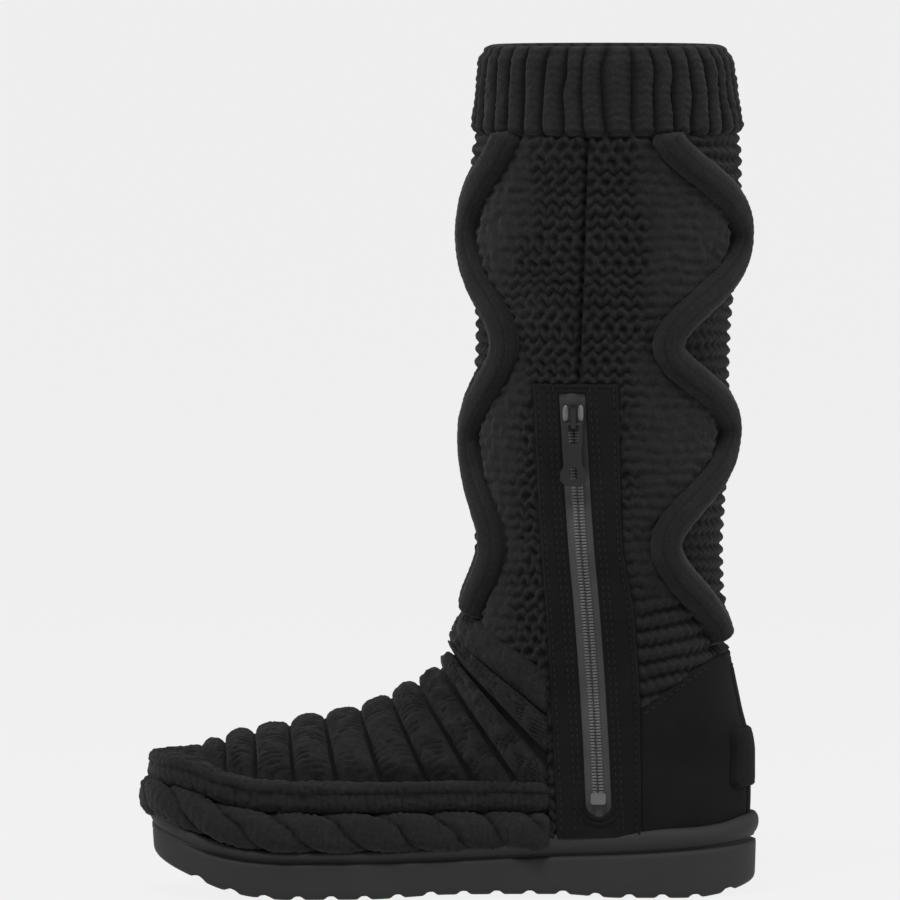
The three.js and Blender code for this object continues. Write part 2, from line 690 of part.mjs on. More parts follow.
// Outline of a rounded rectangle about its middle
function rounded(width, height, radius) {
  const corners = [[1, 1], [-1, 1], [-1, -1], [1, -1]];
  return corners.flatMap(([sx, sz], n) => [0, 30, 60, 90].map((degrees) => {
    const a = THREE.MathUtils.degToRad(degrees + 90 * n);
    return [sx * (width / 2 - radius) + radius * Math.cos(a), sz * (height / 2 - radius) + radius * Math.sin(a)];
  }));
}

// Where the zip's middle line meets the shaft, as a point on the wall
function zipPoint(z, grow) {
  const x = facing.zip(z);
  return new THREE.Vector3(x, -shaftHalf(x, z, grow), z);
}

// The zip's chain between two heights
function chainForm(low, high) {
  const steps = 16;
  const rings = Array.from({ length: steps + 1 }, (_, i) => {
    const base = zipPoint(lerp(low, high, i / steps), GAP + TAPE_THICK + GAP);
    const outline = [[0, 0], [-CHAIN_HALF, 0], [-CHAIN_HALF, 0.8], [-1, CHAIN_HEIGHT]];
    const mirrored = [[1, CHAIN_HEIGHT], [CHAIN_HALF, 0.8], [CHAIN_HALF, 0]];
    return [...outline, [0, CHAIN_HEIGHT], ...mirrored].map(([u, out]) => {
      return new THREE.Vector3(base.x + u, base.y - out, base.z);
    });
  });
  return loft(rings);
}

// The slider's place: its middle on the chain
const sliderSeat = zipPoint(SLIDER_Z, GAP + TAPE_THICK + GAP + SLIDER_LIFT);
const sliderTop = SLIDER_THICK;
const bridgeAxis = sliderTop + BRIDGE_CLEAR / 2;

function sliderForm() {
  const half = SLIDER_WIDTH / 2;
  const body = plate([
    [-half * 0.7, -SLIDER_LENGTH / 2], [half * 0.7, -SLIDER_LENGTH / 2],
    [half, -SLIDER_LENGTH / 6], [half, SLIDER_LENGTH / 2], [1.2, SLIDER_LENGTH / 2],
    [0, SLIDER_LENGTH / 2 - 3], [-1.2, SLIDER_LENGTH / 2], [-half, SLIDER_LENGTH / 2],
    [-half, -SLIDER_LENGTH / 6],
  ], sliderSeat, 0, SLIDER_THICK);
  const room = CHAIN_HALF + 3 * GAP;
  const channel = plate([
    [-room, -20], [room, -20], [room, 20], [-room, 20],
  ], sliderSeat, -5, CHAIN_HEIGHT + GAP);
  const top = sliderTop + BRIDGE_CLEAR;
  const arch = [
    [-5.9, 1], [-5.9, sliderTop], [-4.4, top + BRIDGE_BAR], [4.4, top + BRIDGE_BAR], [5.9, sliderTop], [5.9, 1],
    [4.7, 1], [4.7, sliderTop], [3.8, top], [-3.8, top], [-4.7, sliderTop], [-4.7, 1],
  ];
  return cut(add(body, bridge(arch)), channel);
}

// Bridge of the slider: an arch seen from the side, as [z, out], of a small width
function bridge(outline) {
  const shape = new THREE.Shape(outline.map(([z, out]) => new THREE.Vector2(z, out)));
  const geometry = new THREE.ExtrudeGeometry(shape, { depth: BRIDGE_WIDTH, bevelEnabled: false });
  const frame = new THREE.Matrix4().makeBasis(
    new THREE.Vector3(0, 0, 1), new THREE.Vector3(0, -1, 0), new THREE.Vector3(1, 0, 0));
  frame.setPosition(sliderSeat.x - BRIDGE_WIDTH / 2, sliderSeat.y, sliderSeat.z);
  return solid(geometry.applyMatrix4(frame));
}

// The pull hangs from its cross bar under the bridge
function pullForm() {
  const centre = sliderSeat.clone().setZ(sliderSeat.z - PULL_DROP);
  const out = bridgeAxis;
  const bar = new THREE.CylinderGeometry(PULL_BAR_RADIUS, PULL_BAR_RADIUS, 8, 12);
  const barSolid = solid(bar.rotateZ(Math.PI / 2).translate(centre.x, centre.y - out, centre.z));
  const [near, far] = [out - PULL_THICK / 2, out + PULL_THICK / 2];
  const half = PULL_WIDTH / 2;
  const outline = [
    [-4, 0.85], [-4, -8], [-3.4, -12], [-4, -18], [-half, -21], [-half, -PULL_LENGTH + 2.5],
    [-half + 2.5, -PULL_LENGTH], [half - 2.5, -PULL_LENGTH], [half, -PULL_LENGTH + 2.5],
    [half, -21], [4, -18], [3.4, -12], [4, -8], [4, 0.85],
  ];
  const slot = [[-2.3, 3], [-2.3, -7.2], [-1.2, -8.4], [1.2, -8.4], [2.3, -7.2], [2.3, 3]];
  const plateSolid = cut(plate(outline, centre, near, far), plate(slot, centre, near - 1, far + 1));
  const hole = plate(rounded(3.6, 5.5, 1.5).map(([u, w]) => [u, w - 21.5]), centre, near - 1, far + 1);
  return add(cut(plateSolid, hole), barSolid);
}

const outside = upperOutside(0);
const outsideGrown = upperOutside(GAP);
const inside = upperInside(0);
const underBed = slab(() => -20, (x) => side.bed(x) + GAP, 12);
const overBed = slab((x) => side.bed(x), () => 90, 12);
const soleBlock = soleForm(0);
const soleGrown = soleForm(GAP);
const belowBead = slab(() => -20, (x) => side.bead(x) + GAP, 12);

const slitOutline = uprightOutline(
  (z) => facing.zip(z) - SLIT_HALF, (z) => facing.zip(z) + SLIT_HALF, WINDOW_LOW_Z + 6, WINDOW_HIGH_Z - 4, 8);
const slit = throughBoot(slitOutline, -70, -20);
const upper = cut(add(outside, cuffForm()), inside, underBed, slit);
const outsole = cut(soleBlock, common(outsideGrown, overBed), ...treadChannels());
const insole = common(upperInside(-GAP), slab((x) => side.bed(x) + GAP, (x) => side.bed(x) + GAP + INSOLE_THICK, 12));

const facingBlank = (extra) => layer(facingOutline(extra), GAP, GAP + FACING_THICK, -80, 0);
const windowSolid = (inset) => throughBoot(
  windowOutline(WINDOW_HALF - inset, WINDOW_LOW_Z + inset, WINDOW_HIGH_Z - inset), -90, 0);
const footBlock = footForm(GAP, true, WELT_STEP, 6);
const facingBlock = throughBoot(facingOutline(GAP), -90, 0);
const zipFacing = cut(facingBlank(0), windowSolid(0), footBlock, belowBead);
const zipTape = cut(common(
  windowSolid(GAP), shell(GAP, GAP + TAPE_THICK)), belowBead);
const zipChain = chainForm(STOP_Z + STOP_HEIGHT / 2 + GAP, SLIDER_Z + SLIDER_LENGTH / 2);
const stopSeat = zipPoint(STOP_Z, GAP + TAPE_THICK + GAP);
const zipStop = plate(rounded(STOP_WIDTH, STOP_HEIGHT, 1), stopSeat, 0, STOP_THICK);

const counterShell = (outer) => layer(counterOutline(0), GAP, outer, -80, 80);
const counterOuter = GAP + COUNTER_THICK;
const heelCounter = cut(counterShell(counterOuter), facingBlock, belowBead);
const stripOuter = counterOuter + GAP + STRIP_THICK;
const patchOuter = stripOuter + GAP + PATCH_THICK;
const heelBack = (half, low, high) => block([95, -half, low], [150, half, high]);
const stripLow = 34;
const backStrip = cut(common(
  heelBack(STRIP_HALF_WIDTH, stripLow, STRIP_TOP_Z), shell(counterOuter + GAP, stripOuter)),
belowBead);
const heelPatch = common(
  heelBack(PATCH_HALF_WIDTH, PATCH_LOW_Z, PATCH_HIGH_Z), shell(stripOuter + GAP, patchOuter));

const bandPath = trimPath(trim.band);
const braidPath = trimPath(trim.braid);
const counterBlock = throughBoot(counterOutline(GAP), 0, 90);
const footCore = footForm(GAP, false, WELT_STEP, 6);
const trimStops = [facingBlock, counterBlock, soleGrown, footCore, shaftForm(GAP, CUFF_BOTTOM_Z, OUTSIDE_MESH)];
const footBraid = cut(trimForm(braidPath, BRAID_HEIGHT, BRAID_PROUD, 0, BRAID_WAVE), ...trimStops);
const braidBlock = trimForm(braidPath, BRAID_HEIGHT, BRAID_PROUD, GAP, BRAID_WAVE);
const footBand = cut(trimForm(bandPath, BAND_HEIGHT, BAND_PROUD, 0, 0), braidBlock, ...trimStops);

const besideCuff = block([TOE_X, -90, CUFF_BOTTOM_Z - GAP], [HEEL_X, 90, RIM_Z]);
const cordStops = [shaftForm(GAP, CUFF_BOTTOM_Z + 2, OUTSIDE_MESH), footBlock, besideCuff];
const counterWrap = throughBoot(counterOutline(GAP), -90, 90);
const makeCord = (turns, fromBack, hand) => cut(cord(turns, fromBack, hand, 0), ...cordStops, counterWrap);

const pieces = [
  { name: "outsole", body: outsole, finish: FINISH.sole },
  { name: "insole", body: insole, finish: FINISH.fleece },
  { name: "upper", body: upper, finish: FINISH.knit },
  { name: "foot_band", body: footBand, finish: FINISH.knit },
  { name: "foot_braid", body: footBraid, finish: FINISH.knit },
  { name: "wave_cord_front_medial", body: makeCord(FRONT_CORD, false, -1), finish: FINISH.knit },
  { name: "wave_cord_back_medial", body: makeCord(BACK_CORD, true, -1), finish: FINISH.knit },
  { name: "wave_cord_front_lateral", body: makeCord(FRONT_CORD, false, 1), finish: FINISH.knit },
  { name: "wave_cord_back_lateral", body: makeCord(BACK_CORD, true, 1), finish: FINISH.knit },
  { name: "zip_facing", body: zipFacing, finish: FINISH.suede },
  { name: "zip_tape", body: zipTape, finish: FINISH.tape },
  { name: "zip_chain", body: zipChain, finish: FINISH.coil },
  { name: "zip_bottom_stop", body: zipStop, finish: FINISH.metal },
  { name: "zip_slider", body: sliderForm(), finish: FINISH.metal },
  { name: "zip_pull", body: pullForm(), finish: FINISH.metal },
  { name: "heel_counter", body: heelCounter, finish: FINISH.suede },
  { name: "back_strip", body: backStrip, finish: FINISH.suede },
  { name: "heel_patch", body: heelPatch, finish: FINISH.suede },
];

const boot = new THREE.Group();
boot.name = "mukluk_boot";
for (const { name, body, finish } of pieces) {
  const { vertProperties, triVerts } = body.getMesh();
  const geometry = new THREE.BufferGeometry();
  geometry.setAttribute("position", new THREE.BufferAttribute(new Float32Array(vertProperties), 3));
  geometry.setIndex(new THREE.BufferAttribute(new Uint32Array(triVerts), 1));
  geometry.computeVertexNormals();
  const mesh = new THREE.Mesh(geometry, new THREE.MeshStandardMaterial(finish));
  mesh.name = name;
  boot.add(mesh);
}

// The frame's origin is on the floor, under the middle of the whole boot
const bounds = new THREE.Box3().setFromObject(boot);
const shift = new THREE.Vector3(-(bounds.min.x + bounds.max.x) / 2, -(bounds.min.y + bounds.max.y) / 2, -bounds.min.z);
for (const mesh of boot.children) mesh.geometry.translate(shift.x, shift.y, shift.z);

export default boot;
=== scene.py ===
"""Looks of a tall knitted boot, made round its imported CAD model.

Lengths in the tables and in every ``_mm`` value are millimetres in the boot's own
drawing frame: toe towards -X, inner side of the foot towards -Y, floor at zero.
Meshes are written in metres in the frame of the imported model.
"""

from __future__ import annotations

import logging
import math
from dataclasses import dataclass, field
from enum import Enum
from typing import Callable

import bmesh
import bpy
import numpy as np
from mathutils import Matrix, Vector

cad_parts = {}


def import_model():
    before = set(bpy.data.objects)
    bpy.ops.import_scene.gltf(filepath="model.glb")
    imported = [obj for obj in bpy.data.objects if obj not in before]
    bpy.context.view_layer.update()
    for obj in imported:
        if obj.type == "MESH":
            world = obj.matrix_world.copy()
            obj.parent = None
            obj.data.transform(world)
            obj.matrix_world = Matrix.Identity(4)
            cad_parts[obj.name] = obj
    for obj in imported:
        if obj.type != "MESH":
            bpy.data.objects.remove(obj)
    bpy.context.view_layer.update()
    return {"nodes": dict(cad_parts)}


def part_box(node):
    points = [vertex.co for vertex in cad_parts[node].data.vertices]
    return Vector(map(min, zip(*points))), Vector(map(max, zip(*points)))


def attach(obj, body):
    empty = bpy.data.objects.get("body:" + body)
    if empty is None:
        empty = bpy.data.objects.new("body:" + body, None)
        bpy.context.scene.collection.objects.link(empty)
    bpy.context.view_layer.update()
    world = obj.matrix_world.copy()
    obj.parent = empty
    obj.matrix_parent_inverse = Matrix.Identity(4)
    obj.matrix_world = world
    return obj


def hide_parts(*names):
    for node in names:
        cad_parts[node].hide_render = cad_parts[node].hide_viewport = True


LOG = logging.getLogger("boot")
Array = np.ndarray
MM = 0.001

TOE_X = -132.0
HEEL_X = 136.0
RIM_Z = 373.4
WALL = 5.0
GAP = 0.3
TOE_ROUND_X = -70.0
TOE_POWER = 2.4
HEEL_ROUND_X = 95.0
HEEL_POWER = 2.1
FOOT_INSET = 5.0
FOOT_BURIED = 6.0
FOOT_TOP_POWER = 3.0
FOOT_SIDE_POWER = 2.2
FIRST_ROW = 0.03
LAST_ROW = 12.6
FOOT_LAST_X = 110.0
FOOT_TOP_Z = 140.0
STRAIGHT_FROM_X = 20.0
STRAIGHT_TO_X = 60.0
ANKLE_INSET = 0.5
ANKLE_ROUND = 4.0
WELT_END_INNER_X = 42.0
WELT_END_OUTER_X = 60.0
WELT_END_RUN = 6.0
WELT_END_SINK = 9.0
HEEL_SINK_FROM_X = 90.0
HEEL_SINK_TO_X = 120.0
HEEL_SINK = 30.0
BAND_TO_WELT = 8.2
WELT_LOW_SHARE = 0.3
WELT_HIGH_SHARE = 0.86
COUNTER_FRONT_X = 83.6
FACING_TOP_Z = 226.0
SHEEN_TINT = (0.5, 0.5, 0.52, 1.0)
WHITE = (1.0, 1.0, 1.0, 1.0)


class Side(Enum):
    """The two sides of the foot, as the sign of Y."""

    INNER = -1
    OUTER = 1


class Curve:
    """Smooth curve through given points, without overshoot, level beyond its ends."""

    def __init__(self, at: Array, value: Array) -> None:
        """Keeps the points of the curve.

        Args:
            at: places in rising order.
            value: the value at each place.
        """
        self.at, self.value = at, value
        slope = np.diff(value) / np.diff(at)
        self.tangent = np.empty_like(value)
        self.tangent[0], self.tangent[-1] = slope[0], slope[-1]
        before, after = slope[:-1], slope[1:]
        same = before * after > 0
        total = np.where(same, before + after, 1.0)
        self.tangent[1:-1] = np.where(same, 2 * before * after / total, 0.0)

    def __call__(self, where: Array) -> Array:
        """Value at each place.

        Args:
            where: places to read it at.

        Returns:
            The values.
        """
        t = np.clip(where, self.at[0], self.at[-1])
        i = np.clip(np.searchsorted(self.at, t, side="left") - 1, 0, len(self.at) - 2)
        span = self.at[i + 1] - self.at[i]
        u = (t - self.at[i]) / span
        bend = u * u * (3 - 2 * u)
        rise = span * u * (1 - u)
        low, high = self.value[i], self.value[i + 1]
        turn = (1 - u) * self.tangent[i] - u * self.tangent[i + 1]
        return low + (high - low) * bend + rise * turn


class Table:
    """Short table whose named columns are smooth curves over its first column."""

    def __init__(self, columns: str, *rows: tuple[float, ...]) -> None:
        """Keeps the table's columns as curves.

        Args:
            columns: names, the first being the key.
            rows: the numbers.
        """
        names = columns.split()
        data = np.array(rows, float).T
        self.key = data[0]
        self.columns = {n: Curve(data[0], v) for n, v in zip(names[1:], data[1:])}

    def __getattr__(self, name: str) -> Curve:
        """Column as a curve.

        Args:
            name: the column's name.

        Returns:
            The column.
        """
        try:
            return self.__dict__["columns"][name]
        except KeyError as missing:
            raise AttributeError(name) from missing


PLAN = Table(
    "x centre half",
    (-132, -8, 50), (-115, -4.5, 49), (-95, -2.5, 48.5), (-70, 0, 50),
    (-45, 2.2, 50.2), (-20, 4, 47), (10, 4, 42), (40, 2.2, 38.7),
    (70, 0.7, 38.2), (95, 0, 38), (136, 0, 38),
)
SIDE = Table(
    "x under bed groove bead",
    (-133, 21, 29, 32, 41), (-124, 15, 26, 27, 37), (-112, 9.5, 22.5, 22.5, 30),
    (-100, 4.6, 19.5, 19.5, 25.5), (-86, 1.3, 17.5, 17.3, 22.5),
    (-70, 0, 16.5, 16.5, 21.5), (-35, 0, 16.5, 16.5, 21.5), (0, 1.6, 18, 17.2, 23.5),
    (48, 1.6, 21.5, 19, 29), (75, 0, 23.5, 19.8, 30), (106, 0, 25.5, 21.7, 31),
    (118, 1.4, 26.3, 22.8, 32.3), (128, 4, 27, 24, 35), (137, 7.5, 27.5, 25.5, 37.2),
)
VAMP = Table(
    "row crown_x crown_z foot_x foot_rise",
    (0, -127, 47, -127, 0), (1, -117.5, 61, -117.5, 0), (2, -103.8, 62.6, -105.5, 0),
    (3, -92.4, 66.8, -92, 0), (4, -78, 69.8, -74, 0), (5, -62.8, 73.2, -53, 0),
    (6, -46.6, 76.2, -29, 0), (7, -31.8, 80.8, -4, 0), (8, -18.9, 86.6, 20, 0),
    (9, -7.4, 92.3, 43, 0), (10, 0.6, 101, 64, 0), (11, 3.4, 107.5, 94, 9),
    (12, 6.2, 117, 112, 18), (13, 9.8, 129, 118, 34),
)
SHAFT = Table(
    "z front back half power",
    (10, -8, 127, 34, 2.5), (30, -7, 129, 35.5, 2.5), (45, -6, 129.6, 36.5, 2.5),
    (62, -3, 129.6, 37, 2.5), (84, 2, 125.2, 38, 2.5), (105, 6, 121.2, 41, 2.4),
    (130, 9.5, 119, 45, 2.3), (152, 12.4, 118.4, 47.5, 2.3), (175, 12, 119.6, 48.5, 2.3),
    (205, 11, 121, 49.5, 2.3), (247, 13, 121.6, 50, 2.3), (290, 10, 126, 51, 2.3),
    (325, 11, 126.6, 51.5, 2.3), (337, 13.5, 124.6, 51, 2.3), (375, 17.5, 119, 49.5, 2.3),
)
FACING = Table(
    "z front back zip",
    (10, 46.5, 84, 66.5), (30, 46.5, 84, 65.5), (70, 45, 83.6, 63.7),
    (124, 42, 80.5, 60), (158, 39.5, 75.5, 57), (228, 36, 73.5, 52.8),
)
TRIM = Table(
    "x band braid",
    (-132, 56.8, 45.2), (-118, 55.8, 41.2), (-109, 53, 38), (-98, 48.8, 33.6),
    (-80, 45.6, 30.2), (-55, 44.8, 29.3), (84, 44.8, 29.3),
)
COUNTER_TOP = Table(
    "x z", (83.6, 82.5), (97, 92), (110, 101.5), (122, 107), (140, 109),
)


def smooth(value: Array, low: float | Array, high: float | Array) -> Array:
    """Smooth step from 0 at low to 1 at high."""
    t = np.clip((value - low) / (high - low), 0, 1)
    return t * t * (3 - 2 * t)


def mix(a: Array, b: Array, share: Array) -> Array:
    """Straight blend of two values."""
    return a + (b - a) * share


def soft_max(a: Array, b: Array, rounding: float) -> Array:
    """Larger of two values with the corner between them rounded."""
    return (a + b + np.hypot(a - b, rounding)) / 2


def pillow(phase: Array, power: float = 0.5) -> Array:
    """Row of rounded pads, one for each whole step of the phase, 0 between them."""
    return np.abs(np.sin(np.pi * phase)) ** power


class Noise:
    """Smooth random field that repeats after a number of cells, the same each run."""

    def __init__(self, seed: int, cells: tuple[int, int] = (64, 64)) -> None:
        """Draws the noise's values.

        Args:
            seed: fixed seed.
            cells: cells across and up before it repeats.
        """
        self.cells = cells
        self.values = np.random.default_rng(seed).uniform(-1, 1, cells)

    def __call__(self, u: Array, v: Array) -> Array:
        """Value from -1 to 1 at places counted in cells.

        Args:
            u: place across, in cells.
            v: place up, in cells.

        Returns:
            The noise at each place.
        """
        i, j = np.floor(u).astype(int), np.floor(v).astype(int)
        f, g = u - i, v - j
        f, g = f * f * (3 - 2 * f), g * g * (3 - 2 * g)
        n, m = self.cells
        a, b = self.values[i % n, j % m], self.values[(i + 1) % n, j % m]
        c, d = self.values[i % n, (j + 1) % m], self.values[(i + 1) % n, (j + 1) % m]
        return mix(mix(a, b, f), mix(c, d, f), g)


class BootForm:
    """The boot's main surfaces as functions of place."""

    batch: int = 20000

    def plan_half(self, x: Array, inset: float | Array) -> Array:
        """Half width of the sole's plan, brought in from its edge.

        Args:
            x: place along the boot, toe at the negative end.
            inset: how far in from the plan's edge.

        Returns:
            Half widths.
        """
        body = PLAN.half(x) - inset
        toe = np.maximum((TOE_ROUND_X - x) / (TOE_ROUND_X - TOE_X - inset), 0)
        heel = np.maximum((x - HEEL_ROUND_X) / (HEEL_X - HEEL_ROUND_X - inset), 0)
        toe_part = np.maximum(0, 1 - toe**TOE_POWER) ** (1 / TOE_POWER)
        heel_part = np.maximum(0, 1 - heel**HEEL_POWER) ** (1 / HEEL_POWER)
        return body * toe_part * heel_part

    def shaft_half(self, x: Array, z: Array, grow: float | Array) -> Array:
        """Half width of heel and shaft at a point of the side view.

        Args:
            x: place along the boot, toe at the negative end.
            z: height.
            grow: how far out from the wall.

        Returns:
            Half widths.
        """
        front, back = SHAFT.front(z) - grow, SHAFT.back(z) + grow
        along = np.abs(x - (front + back) / 2) / ((back - front) / 2)
        power = SHAFT.power(z)
        return (SHAFT.half(z) + grow) * np.maximum(0, 1 - along**power) ** (1 / power)

    def shaft_point(self, z: Array, turn: Array, grow: float | Array) -> Array:
        """Point on the shaft; the turn goes from the back, over the inner side, to the front.

        Args:
            z: height.
            turn: place round the shaft, 0 at the back, half a turn at the front.
            grow: how far out from the wall.

        Returns:
            The points.
        """
        front, back = SHAFT.front(z) - grow, SHAFT.back(z) + grow
        exponent = 2 / SHAFT.power(z)
        c, s = np.cos(turn), np.sin(turn)
        x = (front + back) / 2 + np.sign(c) * np.abs(c) ** exponent * (back - front) / 2
        y = -np.sign(s) * np.abs(s) ** exponent * (SHAFT.half(z) + grow)
        return np.stack(np.broadcast_arrays(x, y, z), -1)

    def turn_at_x(self, x: float | Array, z: Array, grow: float = 0.0) -> Array:
        """Turn, on the inner side, at which the shaft has this x.

        Args:
            x: place along the boot, toe at the negative end.
            z: height.
            grow: how far out from the wall.

        Returns:
            The turns.
        """
        front, back = SHAFT.front(z) - grow, SHAFT.back(z) + grow
        share = np.clip((x - (front + back) / 2) / ((back - front) / 2), -1, 1)
        c = np.sign(share) * np.abs(share) ** (SHAFT.power(z) / 2)
        return np.arccos(c)

    def turn_at_y(self, y: float, z: Array, grow: float = 0.0) -> Array:
        """Turn, near the back, at which the shaft is this far from its middle plane."""
        share = np.clip(y / (SHAFT.half(z) + grow), 0, 1)
        return np.arcsin(share ** (SHAFT.power(z) / 2))

    def foot_point(self, row: Array, lift: Array, hand: Array, grow: Array) -> Array:
        """Point on the foot; the lift goes from 0 at the footbed to a quarter turn at the crown.

        Args:
            row: place along the foot, in rows of the table VAMP.
            lift: place up the foot, 0 at the footbed.
            hand: -1 for the inner side, 1 for the outer side.
            grow: how far out from the wall.

        Returns:
            The points.
        """
        foot_x, foot_z = VAMP.foot_x(row), self.row_foot_z(row)
        ax, az = VAMP.crown_x(row) - foot_x, VAMP.crown_z(row) - foot_z
        length = np.hypot(ax, az)
        up = np.sin(lift) ** (2 / FOOT_TOP_POWER)
        across = np.maximum(np.cos(lift), 0) ** (2 / FOOT_SIDE_POWER)
        reach = (length + grow) * up / length
        x, z = foot_x + ax * reach, foot_z + az * reach
        toe = TOE_ROUND_X - TOE_X - FOOT_INSET
        x = np.where(x < TOE_ROUND_X, TOE_ROUND_X - (TOE_ROUND_X - x) * (toe + grow) / toe, x)
        half = self.foot_half(x, z, across, hand, grow)
        y = np.where(across < 1e-6, 0.0, hand * half)
        return np.stack(np.broadcast_arrays(x, self.foot_middle(x) + y, z), -1)

    def row_foot_z(self, row: Array) -> Array:
        """Height of the lower end of a row's plane."""
        return SIDE.bed(VAMP.foot_x(row)) - FOOT_BURIED + VAMP.foot_rise(row)

    def foot_middle(self, x: Array) -> Array:
        """Middle line of the foot."""
        return PLAN.centre(x) * (1 - smooth(x, STRAIGHT_FROM_X, STRAIGHT_TO_X))

    def foot_half(self, x: Array, z: Array, across: Array, hand: Array, grow: Array) -> Array:
        """Half width of the foot where its section has this share of its width.

        Args:
            x: place along the boot, toe at the negative end.
            z: height.
            across: share of the section's width.
            hand: -1 for the inner side, 1 for the outer side.
            grow: how far out from the wall.

        Returns:
            Half widths.
        """
        dome = self.plan_half(x, FOOT_INSET - grow) * across
        towards = np.maximum(0, -hand * self.foot_middle(x))
        ankle = self.shaft_half(x, z, grow) - ANKLE_INSET + towards
        end = np.where(hand < 0, WELT_END_INNER_X, WELT_END_OUTER_X)
        sink = WELT_END_SINK * smooth(x, end, end + WELT_END_RUN)
        sink = sink + HEEL_SINK * smooth(x, HEEL_SINK_FROM_X, HEEL_SINK_TO_X)
        return np.maximum(1, soft_max(dome, ankle, ANKLE_ROUND) - sink)

    def welt_foot(self, x: Array) -> Array:
        """Height at which the welts end, just above the band."""
        return TRIM.band(x) + BAND_TO_WELT

    def welt_lift(self, row: Array) -> Array:
        """Lift at which a row reaches the lower ends of the welts.

        Args:
            row: place along the foot, in rows of the table VAMP.

        Returns:
            The lifts.
        """
        foot_z = self.row_foot_z(row)
        up = np.full_like(row, 0.5)
        for _ in range(6):
            x = mix(VAMP.foot_x(row), VAMP.crown_x(row), up)
            share = (self.welt_foot(x) - foot_z) / (VAMP.crown_z(row) - foot_z)
            up = np.clip(share, WELT_LOW_SHARE, WELT_HIGH_SHARE)
        return np.arcsin(up ** (FOOT_TOP_POWER / 2))

    def in_shaft(self, points: Array, grow: float) -> Array:
        """Which points lie inside heel and shaft."""
        x, y, z = points[..., 0], points[..., 1], points[..., 2]
        return np.abs(y) < self.shaft_half(x, z, grow)

    def in_foot(self, points: Array, grow: float, last_row: float = LAST_ROW) -> Array:
        """Which points lie inside the foot.

        Args:
            points: points in drawing millimetres.
            grow: how far out from the wall.
            last_row: the row at which the foot ends.

        Returns:
            True where a point lies inside.
        """
        flat = points.reshape(-1, 3)
        inside = np.zeros(len(flat), bool)
        near = np.flatnonzero((flat[:, 0] < FOOT_LAST_X) & (flat[:, 2] < FOOT_TOP_Z))
        rows = np.linspace(FIRST_ROW, last_row, 120)
        foot_x, foot_z = VAMP.foot_x(rows), self.row_foot_z(rows)
        ax, az = VAMP.crown_x(rows) - foot_x, VAMP.crown_z(rows) - foot_z
        for part in np.array_split(near, max(1, len(near) // self.batch)):
            x, y, z = flat[part].T
            px, pz = x[:, None] - foot_x, z[:, None] - foot_z
            behind = ax * pz - az * px < 0
            at = np.argmax(~behind, 1)
            found = (~behind).any(1) & (pz[np.arange(len(part)), at] > 0)
            reach = np.hypot(px, pz)[np.arange(len(part)), at]
            up = reach / (np.hypot(ax, az)[at] + grow)
            lift = np.arcsin(np.clip(up, 0, 1) ** (FOOT_TOP_POWER / 2))
            across = np.cos(lift) ** (2 / FOOT_SIDE_POWER)
            side = np.sign(y - self.foot_middle(x))
            half = self.foot_half(x, z, across, side, np.full_like(x, grow))
            inside[part] = found & (up < 1) & (np.abs(y - self.foot_middle(x)) < half)
        return inside.reshape(points.shape[:-1])


FORM = BootForm()


@dataclass
class Placement:
    """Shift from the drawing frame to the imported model's frame, in millimetres."""

    shift: Array = field(default_factory=lambda: np.zeros(3))

    def measure(self) -> None:
        """Takes the shift from where the sole's toe and the heel patch lie."""
        low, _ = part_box("outsole")
        patch_low, patch_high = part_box("heel_patch")
        middle = (patch_low.y + patch_high.y) / 2
        self.shift = np.array([low.x / MM - TOE_X, middle / MM, low.z / MM])

    def metres(self, points: Array) -> Array:
        """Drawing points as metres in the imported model's frame."""
        return (points + self.shift) * MM


PLACE = Placement()


